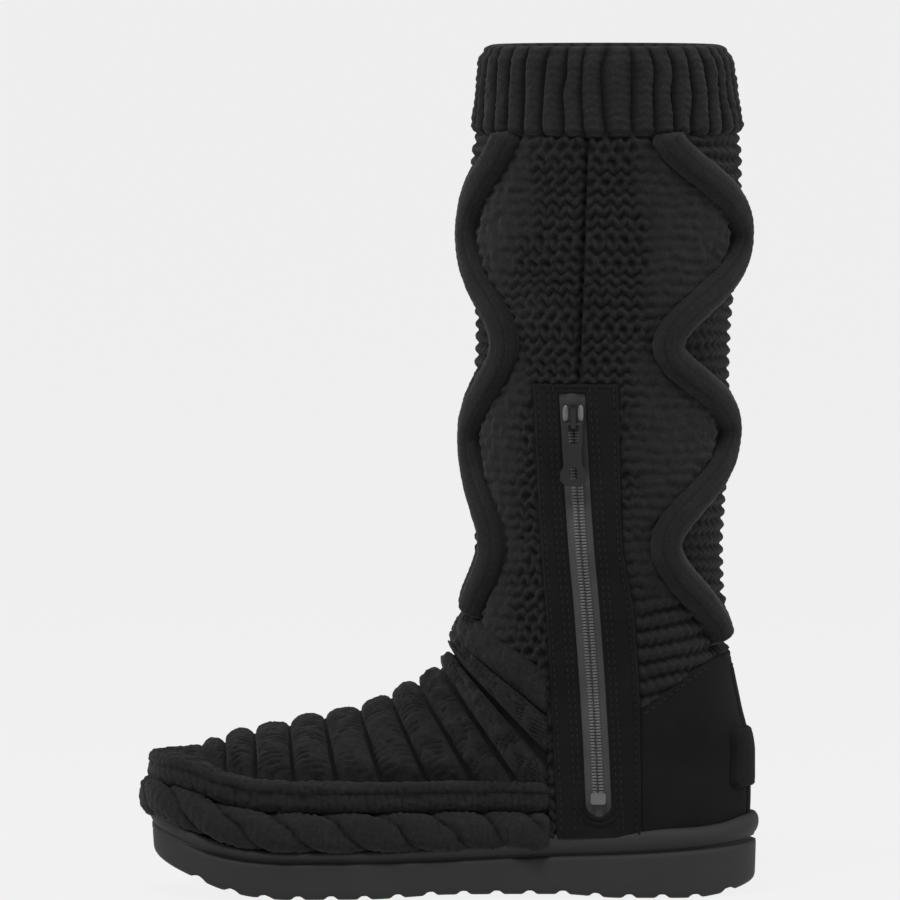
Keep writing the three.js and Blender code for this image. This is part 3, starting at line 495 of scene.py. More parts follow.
class MeshMaker:
    """Turns numpy arrays into Blender meshes."""

    @staticmethod
    def normals(points: Array, wrap: bool) -> Array:
        """Unit normals of a grid of points.

        Args:
            points: a grid of points.
            wrap: whether the last column joins the first.

        Returns:
            A unit normal for each point.
        """
        if wrap:
            du = np.roll(points, -1, 1) - np.roll(points, 1, 1)
        else:
            du = np.gradient(points, axis=1)
        dv = np.gradient(points, axis=0)
        cross = np.cross(du, dv)
        return cross / np.maximum(np.linalg.norm(cross, axis=-1, keepdims=True), 1e-9)

    @staticmethod
    def faces(rows: int, columns: int, wrap: bool) -> Array:
        """Corner indices of the quads of a grid.

        Args:
            rows: rows of the grid.
            columns: columns of the grid.
            wrap: whether the last column joins the first.

        Returns:
            Four vertex numbers a face.
        """
        last = columns if wrap else columns - 1
        i, j = np.meshgrid(np.arange(rows - 1), np.arange(last), indexing="ij")
        k = (j + 1) % columns
        here, above = i * columns, (i + 1) * columns
        return np.stack([here + j, here + k, above + k, above + j], -1).reshape(-1, 4)

    @staticmethod
    def build(
        name: str, points: Array, quads: Array, relief: Array | None = None
    ) -> bpy.types.Object:
        """Mesh object from points in drawing millimetres.

        Args:
            name: the piece's name.
            points: one row of three numbers a vertex.
            quads: four vertex numbers a face.
            relief: a number a vertex, 0 deep in the knit and 1 on its crests, by which the finishes
                paint shade; on the tape it holds painted light and shade.

        Returns:
            The object, smooth shaded, linked to the scene.
        """
        used = np.unique(quads)
        number = np.zeros(len(points), int)
        number[used] = np.arange(len(used))
        quads, points = number[quads], points[used]
        mesh = bpy.data.meshes.new(name)
        mesh.vertices.add(len(points))
        mesh.vertices.foreach_set("co", PLACE.metres(points).astype(np.float32).ravel())
        mesh.loops.add(quads.size)
        mesh.loops.foreach_set("vertex_index", quads.astype(np.int32).ravel())
        mesh.polygons.add(len(quads))
        mesh.polygons.foreach_set("loop_start", np.arange(0, quads.size, 4, dtype=np.int32))
        mesh.polygons.foreach_set("use_smooth", np.ones(len(quads), bool))
        mesh.update(calc_edges=True)
        if relief is not None:
            layer = mesh.attributes.new("relief", "FLOAT", "POINT")
            layer.data.foreach_set("value", np.clip(relief[used], 0, 1).astype(np.float32))
        mesh.validate()
        obj = bpy.data.objects.new(name, mesh)
        bpy.context.scene.collection.objects.link(obj)
        return obj

    @classmethod
    def grid(
        cls, name: str, points: Array, wrap: bool,
        keep: Array | None = None, relief: Array | None = None,
    ) -> bpy.types.Object:
        """Mesh object from a grid of points; keep says which vertices stay.

        Args:
            name: the piece's name.
            points: a grid of points in drawing millimetres.
            wrap: whether the last column joins the first.
            keep: which vertices stay.
            relief: a number a vertex, or nothing.

        Returns:
            The object.
        """
        rows, columns = points.shape[:2]
        quads = cls.faces(rows, columns, wrap)
        if keep is not None:
            quads = quads[keep.ravel()[quads].any(1)]
        flat = None if relief is None else np.broadcast_to(relief, (rows, columns)).ravel()
        return cls.build(name, points.reshape(-1, 3), quads, flat)

    @staticmethod
    def weld(obj: bpy.types.Object, distance: float = 1e-6, outward: bool = True) -> None:
        """Joins vertices in one place and turns the normals outward.

        Args:
            obj: the mesh.
            distance: how near two vertices must be, in metres.
            outward: whether the normals are turned.
        """
        work = bmesh.new()
        work.from_mesh(obj.data)
        bmesh.ops.remove_doubles(work, verts=work.verts, dist=distance)
        bmesh.ops.dissolve_degenerate(work, edges=work.edges, dist=1e-7)
        if outward:
            bmesh.ops.recalc_face_normals(work, faces=work.faces)
        work.to_mesh(obj.data)
        work.free()
        obj.data.update()


class Nodes:
    """Short way to write a node tree."""

    def __init__(self, tree: bpy.types.NodeTree) -> None:
        """Writer for a tree of nodes.

        Args:
            tree: the tree that the nodes go into.
        """
        self.tree = tree

    @classmethod
    def material(cls, name: str) -> tuple[bpy.types.Material, Nodes]:
        """New material with an empty tree, and the writer of its nodes.

        Args:
            name: the material's name.

        Returns:
            The material and the writer of its nodes.
        """
        material = bpy.data.materials.new(name)
        material.use_nodes = True
        material.node_tree.nodes.clear()
        return material, cls(material.node_tree)

    def add(self, kind: str, **inputs: object) -> bpy.types.Node:
        """Makes a node.

        Args:
            kind: the node's type.
            inputs: a value or a link for each socket, by its name with _ for a space;
                a name in lower case is a setting of the node.

        Returns:
            The node.
        """
        node = self.tree.nodes.new(kind)
        for name, value in inputs.items():
            if name[0].islower():
                setattr(node, name, value)
        for name, value in inputs.items():
            if not name[0].islower():
                self.set(node.inputs[name.replace("_", " ")], value)
        return node

    def set(self, socket: bpy.types.NodeSocket, value: object) -> None:
        """Links a socket to another one, or gives it a value.

        Args:
            socket: the socket that takes it.
            value: a link, a number or a colour.
        """
        if isinstance(value, bpy.types.NodeSocket):
            self.tree.links.new(value, socket)
        else:
            socket.default_value = value

    def times(self, a: bpy.types.NodeSocket, b: bpy.types.NodeSocket) -> bpy.types.NodeSocket:
        """Product of two numbers.

        Args:
            a: the first one.
            b: the second one.

        Returns:
            The product.
        """
        node = self.add("ShaderNodeMath", operation="MULTIPLY")
        self.set(node.inputs[0], a)
        self.set(node.inputs[1], b)
        return node.outputs[0]

    def scaled(self, colour: object, factor: bpy.types.NodeSocket) -> bpy.types.NodeSocket:
        """Colour times a number.

        Args:
            colour: the colour.
            factor: the number.

        Returns:
            The new colour.
        """
        node = self.add("ShaderNodeVectorMath", operation="SCALE", Scale=factor)
        self.set(node.inputs[0], colour)
        return node.outputs[0]

    def spread(self, value: bpy.types.NodeSocket, **limits: float) -> bpy.types.NodeSocket:
        """Number spread from one range to another, as From_Min, To_Min and so on say."""
        return self.add("ShaderNodeMapRange", Value=value, **limits).outputs["Result"]


@dataclass(frozen=True)
class Wool:
    """Finish of a knitted piece."""

    name: str
    colour: tuple[float, float, float] = (0.0092, 0.0093, 0.0098)
    lighter: tuple[float, float, float] = (0.0185, 0.0187, 0.0196)
    sheen: float = 0.25
    fuzz_scale: float = 900.0
    patch_scale: float = 55.0
    strand_scale: float = 2400.0
    fibre: float = 0.35
    # Colour factor of the painted shade deep in the knit's crevices.
    crevice: float = 0.25

    def make(self) -> bpy.types.Material:
        """Material with yarn fibres, fuzz, uneven dye and painted shade in the knit's crevices.

        Returns:
            The material.
        """
        material, nodes = Nodes.material(self.name)
        place = nodes.add("ShaderNodeTexCoord").outputs["Object"]
        noise = "ShaderNodeTexNoise"
        fuzz = nodes.add(
            noise, Vector=place, Scale=self.fuzz_scale, Detail=4.0, Roughness=0.7).outputs["Fac"]
        patches = nodes.add(
            noise, Vector=place, Scale=self.patch_scale, Detail=3.0).outputs["Fac"]
        strands = nodes.add(
            noise, Vector=place, Scale=self.strand_scale, Detail=2.0, Roughness=0.6).outputs["Fac"]
        colour = nodes.add(
            "ShaderNodeMix", data_type="RGBA",
            Factor=nodes.spread(fuzz, From_Min=0.42, From_Max=0.78))
        nodes.set(colour.inputs[6], (*self.colour, 1.0))
        nodes.set(colour.inputs[7], (*self.lighter, 1.0))
        shade = nodes.spread(patches, To_Min=0.75, To_Max=1.25)
        # Painted shade: the colour darkens towards the knit's crevices as the relief attribute
        # falls.
        relief = nodes.add("ShaderNodeAttribute", attribute_name="relief").outputs["Fac"]
        total = nodes.times(shade, nodes.spread(relief, To_Min=self.crevice, To_Max=1.0))
        rough = nodes.add("ShaderNodeBump", Strength=self.fibre, Distance=0.0005, Height=fuzz)
        fine = nodes.add(
            "ShaderNodeBump", Strength=self.fibre, Distance=0.0002,
            Height=strands, Normal=rough.outputs["Normal"])
        surface = nodes.add(
            "ShaderNodeBsdfPrincipled", Base_Color=nodes.scaled(colour.outputs[2], total),
            Roughness=0.95, Sheen_Weight=self.sheen, Sheen_Roughness=0.5,
            Sheen_Tint=SHEEN_TINT, Specular_IOR_Level=0.15, Normal=fine.outputs["Normal"])
        nodes.add("ShaderNodeOutputMaterial", Surface=surface.outputs["BSDF"])
        return material


@dataclass(frozen=True)
class Matt:
    """Finish of suede, rubber, tape or metal: one colour with grain."""

    name: str
    colour: tuple[float, float, float]
    vary: float = 0.25
    roughness: float = 0.9
    uneven: float = 0.08
    grain_scale: float = 1200.0
    grain: float = 0.3
    depth: float = 0.0003
    blotch_scale: float = 40.0
    sheen: float = 0.0
    specular: float = 0.3
    # Colour factor where the relief attribute is 0, for painted shade; 1 leaves it off.
    relief_low: float = 1.0

    def make(self) -> bpy.types.Material:
        """Material with fine grain, uneven tone and uneven roughness, and painted light and shade
        from the relief attribute where its lower bound is under 1.

        Returns:
            The material.
        """
        material, nodes = Nodes.material(self.name)
        place = nodes.add("ShaderNodeTexCoord").outputs["Object"]
        noise = "ShaderNodeTexNoise"
        grain = nodes.add(
            noise, Vector=place, Scale=self.grain_scale, Detail=5.0, Roughness=0.65).outputs["Fac"]
        blotch = nodes.add(
            noise, Vector=place, Scale=self.blotch_scale, Detail=4.0).outputs["Fac"]
        low, high = 1 - self.vary, 1 + self.vary
        tone = nodes.spread(blotch, From_Min=0.3, From_Max=0.7, To_Min=low, To_Max=high)
        total = nodes.times(tone, nodes.spread(grain, To_Min=low, To_Max=high))
        # Painted light and shade: the colour is scaled by the relief attribute, from the lower
        # bound up to full.
        if self.relief_low < 1:
            relief = nodes.add("ShaderNodeAttribute", attribute_name="relief").outputs["Fac"]
            total = nodes.times(total, nodes.spread(relief, To_Min=self.relief_low))
        shine = nodes.spread(
            blotch, To_Min=max(0.0, self.roughness - self.uneven),
            To_Max=min(1.0, self.roughness + self.uneven))
        bump = nodes.add("ShaderNodeBump", Strength=self.grain, Distance=self.depth, Height=grain)
        surface = nodes.add(
            "ShaderNodeBsdfPrincipled", Base_Color=nodes.scaled(self.colour, total),
            Roughness=shine, Specular_IOR_Level=self.specular, Sheen_Weight=self.sheen,
            Sheen_Roughness=0.6, Sheen_Tint=SHEEN_TINT, Normal=bump.outputs["Normal"])
        nodes.add("ShaderNodeOutputMaterial", Surface=surface.outputs["BSDF"])
        return material


@dataclass
class Finishes:
    """The boot's materials, made once."""

    knit: bpy.types.Material
    cord: bpy.types.Material
    lining: bpy.types.Material
    suede: bpy.types.Material
    sole: bpy.types.Material
    tape: bpy.types.Material
    coil: bpy.types.Material
    metal: bpy.types.Material
    silver: bpy.types.Material
    thread: bpy.types.Material

    @classmethod
    def make(cls) -> Finishes:
        """All finishes in the boot's colours.

        Returns:
            The finishes.
        """
        return cls(
            knit=Wool("black_wool", sheen=0.10).make(),
            cord=Wool(
                "black_fine_wool", lighter=(0.018, 0.0181, 0.0192), sheen=0.13, crevice=0.6).make(),
            lining=Wool(
                "black_fleece", colour=(0.010, 0.010, 0.011), fuzz_scale=500.0,
                fibre=0.8, crevice=1.0, sheen=0.1).make(),
            suede=Matt(
                "black_suede", (0.0066, 0.0066, 0.0071), roughness=1.0,
                sheen=0.035, specular=0.08, grain=0.5).make(),
            sole=Matt(
                "black_foam", (0.0155, 0.0158, 0.0170), vary=0.12, roughness=0.75,
                grain_scale=2500.0, grain=0.25, specular=0.35).make(),
            tape=Matt(
                "grey_tape", (0.052, 0.0525, 0.0550), roughness=0.65,
                grain_scale=3000.0, sheen=0.06, relief_low=0.45).make(),
            coil=Matt("grey_coil", (0.075, 0.076, 0.079), roughness=0.45, specular=0.5).make(),
            metal=Matt("black_enamel", (0.0085, 0.0085, 0.009), roughness=0.45, grain=0.1).make(),
            # Pale metal of the bottom stop, also used on the slider rims as a painted highlight.
            silver=Matt(
                "pale_metal", (0.085, 0.085, 0.088), roughness=0.45,
                specular=0.5, grain=0.1).make(),
            thread=Matt(
                "black_thread", (0.0095, 0.0095, 0.0100), grain_scale=4000.0, specular=0.2).make(),
        )


@dataclass
class Piece:
    """What every sub-assembly has: how a mesh gets its finish and its place."""

    finishes: Finishes

    def dress(
        self, obj: bpy.types.Object, material: bpy.types.Material, slot: str, *nodes: str
    ) -> bpy.types.Object:
        """Gives a mesh its finish and its place in the frame.

        Args:
            obj: the finished mesh.
            material: its finish.
            slot: not used.
            nodes: CAD nodes that it stands for.

        Returns:
            The same object.
        """
        obj.data.materials.clear()
        obj.data.materials.append(material)
        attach(obj, "boot")
        if nodes:
            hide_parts(*nodes)
        LOG.info("%s: %d faces", obj.name, len(obj.data.polygons))
        return obj


@dataclass
class CordPath:
    """Wavy line of a cord on the shaft, as heights and angles of its turning points."""

    turns: tuple[tuple[float, float], ...]
    from_back: bool

    def angle(self, place: Array) -> Array:
        """Angle in degrees from the front or the back of the shaft.

        Args:
            place: place along the cord, in turning points from its top.

        Returns:
            The angles.
        """
        i = np.clip(np.floor(place).astype(int), 0, len(self.turns) - 2)
        share = (1 - np.cos((place - i) * np.pi)) / 2
        values = np.array([a for _, a in self.turns])
        return mix(values[i], values[i + 1], share)

    def height(self, place: Array) -> Array:
        """Height on the shaft.

        Args:
            place: place along the cord, in turning points from its top.

        Returns:
            The heights.
        """
        i = np.clip(np.floor(place).astype(int), 0, len(self.turns) - 2)
        values = np.array([z for z, _ in self.turns])
        return mix(values[i], values[i + 1], place - i)

    def turn(self, z: Array) -> Array:
        """Turn of the shaft, on the inner side, at which the cord passes a height.

        Args:
            z: height on the shaft.

        Returns:
            The turns.
        """
        places = np.linspace(0, len(self.turns) - 1, 240)
        heights, angles = self.height(places)[::-1], self.angle(places)[::-1]
        angle = np.radians(np.interp(z, heights, angles))
        return angle if self.from_back else np.pi - angle


FRONT_CORD = CordPath(
    ((336.5, 43), (289.5, 10), (242, 42), (198.5, 10), (154, 34), (119, 19)), from_back=False)
BACK_CORD = CordPath(
    ((336.5, 67), (289.5, 13), (242.5, 63), (204.5, 15), (155.5, 61), (108, 20)), from_back=True)


@dataclass
class Shaft(Piece):
    """Knitted shaft and heel, with purl panels, ribbed strips and side seams."""

    low_z: float = 22.0
    high_z: float = 337.0
    columns: int = 420
    rows: int = 350
    purl_row: float = 4.9
    purl_width: float = 5.8
    strip_row: float = 5.5
    ankle_row: float = 7.3
    purl_height: float = 2.7
    strip_height: float = 2.2
    ankle_height: float = 2.9
    ankle_lean: float = 0.21
    ankle_stitch: float = 4.4
    girth_z: float = 230.0
    girth: float = field(init=False, default=0.0)
    seam_x: float = 59.6
    seam_z: float = 331.0
    seam_lean: float = 0.034
    seam_half: float = 1.1
    seam_depth: float = 3.6
    seam_low_z: tuple[float, float] = (FACING_TOP_Z, 96.0)
    purl_reach: tuple[float, float] = (20.0, 34.0)
    hollow_from_cord: float = 7.0
    hollow_half: float = 5.0
    hollow_depth: float = 1.6
    buried: float = 0.4
    crest_height: float = 1.7

    def turns(self) -> tuple[Array, Array]:
        """Turns of the columns at even spacing, and their place round the shaft in mm.

        Returns:
            The turns and the places.
        """
        fine = np.linspace(0, 2 * np.pi, 4001)
        line = FORM.shaft_point(np.full_like(fine, self.girth_z), fine, 0)
        length = np.concatenate([[0], np.cumsum(np.linalg.norm(np.diff(line, axis=0), axis=1))])
        along = np.linspace(0, length[-1], self.columns, endpoint=False)
        self.girth = length[-1]
        return np.interp(along, length, fine), along

    def ridges(self, v: Array, s: Array, wave: Array, width: float, spread: float) -> Array:
        """Height of knitted rows whose middle lines wave by turns.

        Args:
            v: place counted in rows.
            s: place along the row, in mm.
            wave: how far the middle lines wave, in rows.
            width: length of one wave in mm.
            spread: half width of a row, in rows.

        Returns:
            Height from 0 to 1.
        """
        jitter, drift = Noise(11, (1, 512)), Noise(12, (16, 256))
        count = round(self.girth / width)
        phase = s / self.girth * count * 2 * np.pi
        best = np.zeros_like(v)
        for near in (-1, 0, 1):
            k = np.floor(v) + near
            shift = jitter(np.zeros_like(v), k) * 2.2 + 1.4 * drift(s / self.girth * 16, k * 0.7)
            swing = np.sin(phase + 0.55 * np.pi * k + shift)
            middle = k + 0.5 + wave * swing
            lump = 1 - 2.2 * wave * (0.5 - 0.5 * np.sin(2 * phase + shift))
            best = np.maximum(best, lump * np.exp(-(np.abs((v - middle) / spread) ** 2.4)))
        return best

    def knit(self, s: Array, z: Array, turn: Array, base: Array) -> Array:
        """Height of the knitted surface over the wall.

        Args:
            s: place round the shaft, in mm.
            z: height.
            turn: place round the shaft, 0 at the back, half a turn at the front.
            base: the wall's points.

        Returns:
            The heights.
        """
        half_turn = np.where(turn > np.pi, 2 * np.pi - turn, turn)
        inner = turn < np.pi
        slow = Noise(3, (24, 64))(s / self.girth * 24, z / 14)
        quick = Noise(4, (128, 128))(s / self.girth * 128, z / 2.6)
        step = self.girth / (2 * np.pi)
        to_front = (FRONT_CORD.turn(z) - half_turn) * step
        to_back = (half_turn - BACK_CORD.turn(z)) * step
        panel = smooth(np.minimum(to_front, to_back), -1, 1)
        seam_x = self.seam_x + (z - self.seam_z) * self.seam_lean
        from_seam = np.abs(base[..., 0] - seam_x)
        near, far = self.purl_reach
        purl = (1 - smooth(from_seam, near + 6 * slow, far + 6 * slow)) * panel
        purl_v = z / self.purl_row + 0.25 * slow
        purl_wave = 0.22 * purl + 0.03
        side = self.ridges(purl_v, s, purl_wave, self.purl_width, 0.36)
        side = 1 - (1 - side) * mix(0.28, 1.0, purl)
        side = side * self.purl_height * (1 + 0.2 * quick)
        strip_v = z / self.strip_row + 0.2 * slow
        strip = self.ridges(strip_v, s, np.full_like(z, 0.07), 5.0, 0.34) * self.strip_height
        height = mix(strip, side, panel)
        ankle_v = (z - self.ankle_lean * (base[..., 0] - 80)) / self.ankle_row + 0.12 * slow
        ankle = self.ridges(ankle_v, s, np.full_like(z, 0.05), 4.0, 0.33) * self.ankle_height
        stitch = s / self.ankle_stitch + 0.5 * np.floor(ankle_v) + 0.3 * slow
        ankle = ankle * (0.72 + 0.28 * pillow(stitch, 0.7))
        low = (1 - smooth(z, 128, 138)) * smooth(base[..., 0], 74, 84)
        height = mix(height, ankle, low)
        from_cord = np.minimum(to_front, to_back) - self.hollow_from_cord
        height = height - self.hollow_depth * np.exp(-((from_cord / self.hollow_half) ** 2)) * panel
        seam_low = np.where(inner, *self.seam_low_z)
        seam = np.exp(-((from_seam / self.seam_half) ** 2))
        seam = seam * smooth(z, seam_low - 4, seam_low + 2)
        height = height - self.seam_depth * seam * (1 + 0.3 * quick)
        return height + 0.25 * quick

    def under_suede(self, base: Array, turn: Array) -> Array:
        """Share, from 0 to 1, by which a point lies under the facing or the counter.

        Args:
            base: the wall's points.
            turn: place round the shaft, 0 at the back, half a turn at the front.

        Returns:
            The shares.
        """
        x, z = base[..., 0], base[..., 2]
        inner = turn < np.pi
        across = np.minimum(x - FACING.front(z), FACING.back(z) - x)
        facing = smooth(np.minimum(across, FACING_TOP_Z - z), -1, 1) * inner
        counter = smooth(np.minimum(x - COUNTER_FRONT_X, COUNTER_TOP.z(x) - z), -1, 1)
        return np.maximum(facing, counter)

    def make(self) -> list[bpy.types.Object]:
        """Builds the shaft's outside in a front and a back half.

        Returns:
            The two halves.
        """
        turn, along = self.turns()
        levels = np.linspace(self.low_z, self.high_z, self.rows)
        z, t = np.meshgrid(levels, turn, indexing="ij")
        s = np.broadcast_to(along, z.shape)
        base = FORM.shaft_point(z, t, 0)
        height = mix(self.knit(s, z, t, base), np.zeros_like(z), self.under_suede(base, t))
        points = base - MeshMaker.normals(base, True) * (height - self.buried)[..., None]
        # Painted shade: the knit's colour darkens from its crests down into its hollows.
        relief = smooth(height, -self.buried, self.crest_height)
        keep = ~(FORM.in_foot(base, -2.5) | FORM.in_foot(base, 1.0, LAST_ROW - 0.25))
        front = np.abs(t - np.pi) < np.pi / 2
        made = []
        for name, part in (("shaft_front", front), ("shaft_back", ~front)):
            quads = MeshMaker.faces(*z.shape, True)
            shown = keep.ravel()[quads].any(1) & part.ravel()[quads[:, 0]]
            obj = MeshMaker.build(name, points.reshape(-1, 3), quads[shown], relief.ravel())
            made.append(self.dress(obj, self.finishes.knit, "knit_wool", "upper"))
        return made


@dataclass
class Cuff(Piece):
    """Ribbed cuff with its rolled rim and its inner face."""

    ribs: int = 38
    columns: int = 640
    bottom_z: float = 333.5
    rib_height: float = 3.6
    evenness: float = 0.035
    rim: float = 2.6
    inner_depth: float = 44.0
    stitch: float = 3.4

    def make(self) -> bpy.types.Object:
        """Builds the cuff from its lower edge, over the rim and down inside.

        Returns:
            The cuff.
        """
        outer = np.linspace(0, 1, 62)
        roll = np.linspace(0, np.pi, 14)[1:-1]
        inner = np.linspace(0, 1, 44)
        rim, rim_z = self.rim, RIM_Z - self.rim
        z = np.concatenate([
            self.bottom_z + outer * (rim_z - self.bottom_z),
            rim_z + rim * np.sin(roll),
            rim_z - inner * self.inner_depth,
        ])
        grow = np.concatenate([
            0.6 - 3.5 * (1 - np.clip(outer * 14, 0, 1)) ** 2 - 0.4 * smooth(outer, 0.85, 1),
            0.2 - rim * (1 - np.cos(roll)),
            np.full_like(inner, 0.2 - 2 * rim),
        ])
        face = np.concatenate([np.ones_like(outer), np.cos(roll) * 0.5 + 0.5, np.zeros_like(inner)])
        strength = np.concatenate([
            mix(0.4, 1, smooth(outer, 0, 0.12)) * mix(1, 0.55, smooth(outer, 0.9, 1)),
            mix(0.55, 0.35, roll / np.pi), np.full_like(inner, 0.5),
        ])
        turns = np.linspace(0, 2 * np.pi, self.columns, endpoint=False)
        zz, even = np.meshgrid(z, turns, indexing="ij")
        tt = even - self.evenness * np.sin(4 * even)
        gg, ff = (np.broadcast_to(v[:, None], zz.shape) for v in (grow, face))
        strength = np.broadcast_to(strength[:, None], zz.shape)
        round_share = tt / (2 * np.pi)
        wobble = Noise(21, (38, 64))(round_share * 38, zz / 11) * 0.16
        wobble = wobble + Noise(23, (19, 64))(round_share * 19, zz / 30) * 0.16
        phase = even / (2 * np.pi) * self.ribs + 0.5 + wobble
        rib = pillow(phase, 0.5)
        side = np.abs((phase % 1) - 0.5)
        stitch = np.abs(np.sin(np.pi * (zz / self.stitch + 0.9 * side + 0.2 * wobble)))
        uneven = Noise(22, (152, 128))(round_share * 152, zz / 2.2)
        height = self.rib_height * rib * strength + (0.45 * stitch + 0.4 * uneven) * rib * strength
        sign = ff * 2 - 1
        base = FORM.shaft_point(zz, tt, gg)
        out = FORM.shaft_point(zz, tt, gg + 1) - base
        out /= np.linalg.norm(out, axis=-1, keepdims=True)
        points = base + out * (height * sign)[..., None]
        # Painted shade between the ribs and in the stitch grooves.
        relief = smooth(rib * (0.82 + 0.18 * stitch), 0.3, 0.92)
        obj = MeshMaker.grid("cuff", points, True, relief=relief)
        return self.dress(obj, self.finishes.knit, "knit_wool", "upper")


@dataclass
class Vamp(Piece):
    """Foot with its eleven padded cross welts, on rows 2 to 12 of the table."""

    columns: int = 430
    toe_columns: int = 55
    above: int = 84
    below: int = 6
    welt_height: float = 5.0
    welt_power: float = 2.2
    half_rows: tuple[float, ...] = (0.46,) * 7 + (0.44, 0.42, 0.4, 0.6)
    knob_row: float = 11.6
    knob_half: float = 1.1
    toe_row: float = 1.5
    stitch: float = 2.5
    last_row: float = 12.62
    inner_end_x: float = 44.5
    inner_end_run: float = 8.0
    toe_fill: float = 3.0
    dip: float = 1.2

    def dome(self, off: Array) -> Array:
        """Section of a pad, from 1 on its middle to 0 at its edges."""
        return np.sqrt(np.maximum(0, 1 - np.minimum(1, off) ** self.welt_power))

    def bump(self, row: Array, lift: Array, hand: Array, x: Array) -> Array:
        """How far a welt stands up, from 0 in the dip to 1 on its middle.

        Args:
            row: place along the foot, in rows of the table VAMP.
            lift: place up the foot, 0 at the footbed.
            hand: -1 for the inner side, 1 for the outer side.
            x: place along the boot, toe at the negative end.

        Returns:
            The heights.
        """
        best = np.zeros_like(row)
        for number, half in enumerate(self.half_rows, 2):
            best = np.maximum(best, self.dome(np.abs(row - number) / half))
        short = np.clip((self.inner_end_x - x) / self.inner_end_run, 0, 1)
        short = np.where(hand < 0, np.sqrt(1 - (1 - short) ** 2), 1.0)
        best = best * mix(1.0, short, smooth(row, 7.4, 8.4))
        crown = smooth(lift, 0.95, 1.45) * (1 - smooth(row, 10.2, 10.8))
        best = mix(best, 0.42 + 0.58 * best, crown)
        knob = self.dome(np.abs(row - self.knob_row) / self.knob_half)
        at_knob = smooth(lift, 0.85, 1.2) * smooth(row, 10.4, 10.6)
        return mix(best, np.maximum(best * (row < 11), knob), at_knob)

    def surface(self, row: Array, s: Array, bump: Array) -> tuple[Array, Array]:
        """Height of the knit over the wall, and its painted shade, darker in the dips between welts
        and in the stitch grooves.

        Args:
            row: place along the foot, in rows of the table VAMP.
            s: place round the foot, in mm.
            bump: height of the welts, from 0 to 1.

        Returns:
            The height and the painted shade factor.
        """
        number = np.clip(np.round(row), 2, 12)
        slow = Noise(31, (64, 64))(s / 9 + number * 7, row * 1.3)
        quick = Noise(32, (128, 128))(s / 1.6, row * 9)
        lumps = Noise(34, (64, 64))(s / 4.5 + number * 11, row * 3.1)
        phase = s / self.stitch + (number * 0.37) % 1 + 0.45 * slow + 0.25 * lumps
        groove = np.exp(-(((phase % 1 - 0.5) / 0.2) ** 2))
        patchy = smooth(Noise(33, (64, 64))(s / 3.4 + number * 5, row * 3.7), -0.35, 0.3)
        ticks = patchy * groove * smooth(np.abs(s), 4, 22) * mix(1.0, 0.45, smooth(row, 11.3, 11.8))
        chunky = smooth(row, 7.3, 8.5) * (1 - 0.6 * smooth(row, 11.4, 11.8))
        detail = 0.4 * quick + (0.35 + 1.3 * chunky) * lumps * bump
        detail = detail - (1.0 + 0.8 * chunky) * ticks * bump
        toe = smooth(row, 1.2, self.toe_row)
        pad = self.welt_height * bump * (1 + 0.06 * slow)
        # Painted shade: darker in the dips between the welts and in the stitch grooves.
        relief = mix(0.75, smooth(bump, 0.0, 0.75) * (1 - 0.65 * ticks), toe)
        return pad + detail - self.dip * (1 - bump) * toe, relief

    def toe_cover(self, row: Array, s: Array, lift: Array) -> Array:
        """Height that closes the foot against the band round the toe.

        Args:
            row: place along the foot, in rows of the table VAMP.
            s: place round the foot, in mm.
            lift: place up the foot, 0 at the footbed.

        Returns:
            The heights.
        """
        fill = smooth(row, 0.5, 0.9) * (1 - smooth(row, 1.6, 1.9)) * smooth(lift, 0.7, 1.2)
        fill = fill * self.toe_fill
        quick = Noise(32, (128, 128))(s / 1.6, row * 9)
        return fill + 0.5 * quick * (fill > 0.5)

    def make(self) -> bpy.types.Object:
        """Builds the foot from the toe to the ankle.

        Returns:
            The foot.
        """
        toe_rows = np.linspace(FIRST_ROW, self.toe_row, self.toe_columns + 1)[:-1]
        rows = np.concatenate([toe_rows, np.linspace(self.toe_row, self.last_row, self.columns)])
        lows = FORM.welt_lift(rows)
        up = np.concatenate([
            np.linspace(0, 1, self.below, endpoint=False), 1 + np.linspace(0, 1, self.above)])
        row, way = np.meshgrid(rows, np.concatenate([-up, up[::-1][1:]]), indexing="ij")
        low = np.broadcast_to(lows[:, None], row.shape)
        hand = np.where(way < 0, -1.0, 1.0)
        u = np.abs(way)
        lift = np.where(u < 1, low * u, mix(low, np.pi / 2, np.clip(u - 1, 0, 1)))
        plain = FORM.foot_point(row, lift, hand, np.zeros_like(row))
        end_z = FORM.welt_foot(plain[..., 0])
        fade = smooth(plain[..., 2], end_z - 3, end_z + 5)
        step = np.linalg.norm(np.diff(plain, axis=1), axis=-1)
        length = np.concatenate([np.zeros((len(rows), 1)), np.cumsum(step, 1)], 1)
        s = length - length[:, [length.shape[1] // 2]]
        bump = self.bump(row, lift, hand, plain[..., 0])
        rise, relief = self.surface(row, s, bump)
        rise = np.maximum(rise * fade, self.toe_cover(row, s, lift))
        points = FORM.foot_point(row, lift, hand, rise)
        keep = ~FORM.in_shaft(points, -2.5)
        obj = MeshMaker.grid("vamp", points, False, keep, relief)
        return self.dress(obj, self.finishes.knit, "knit_wool", "upper")


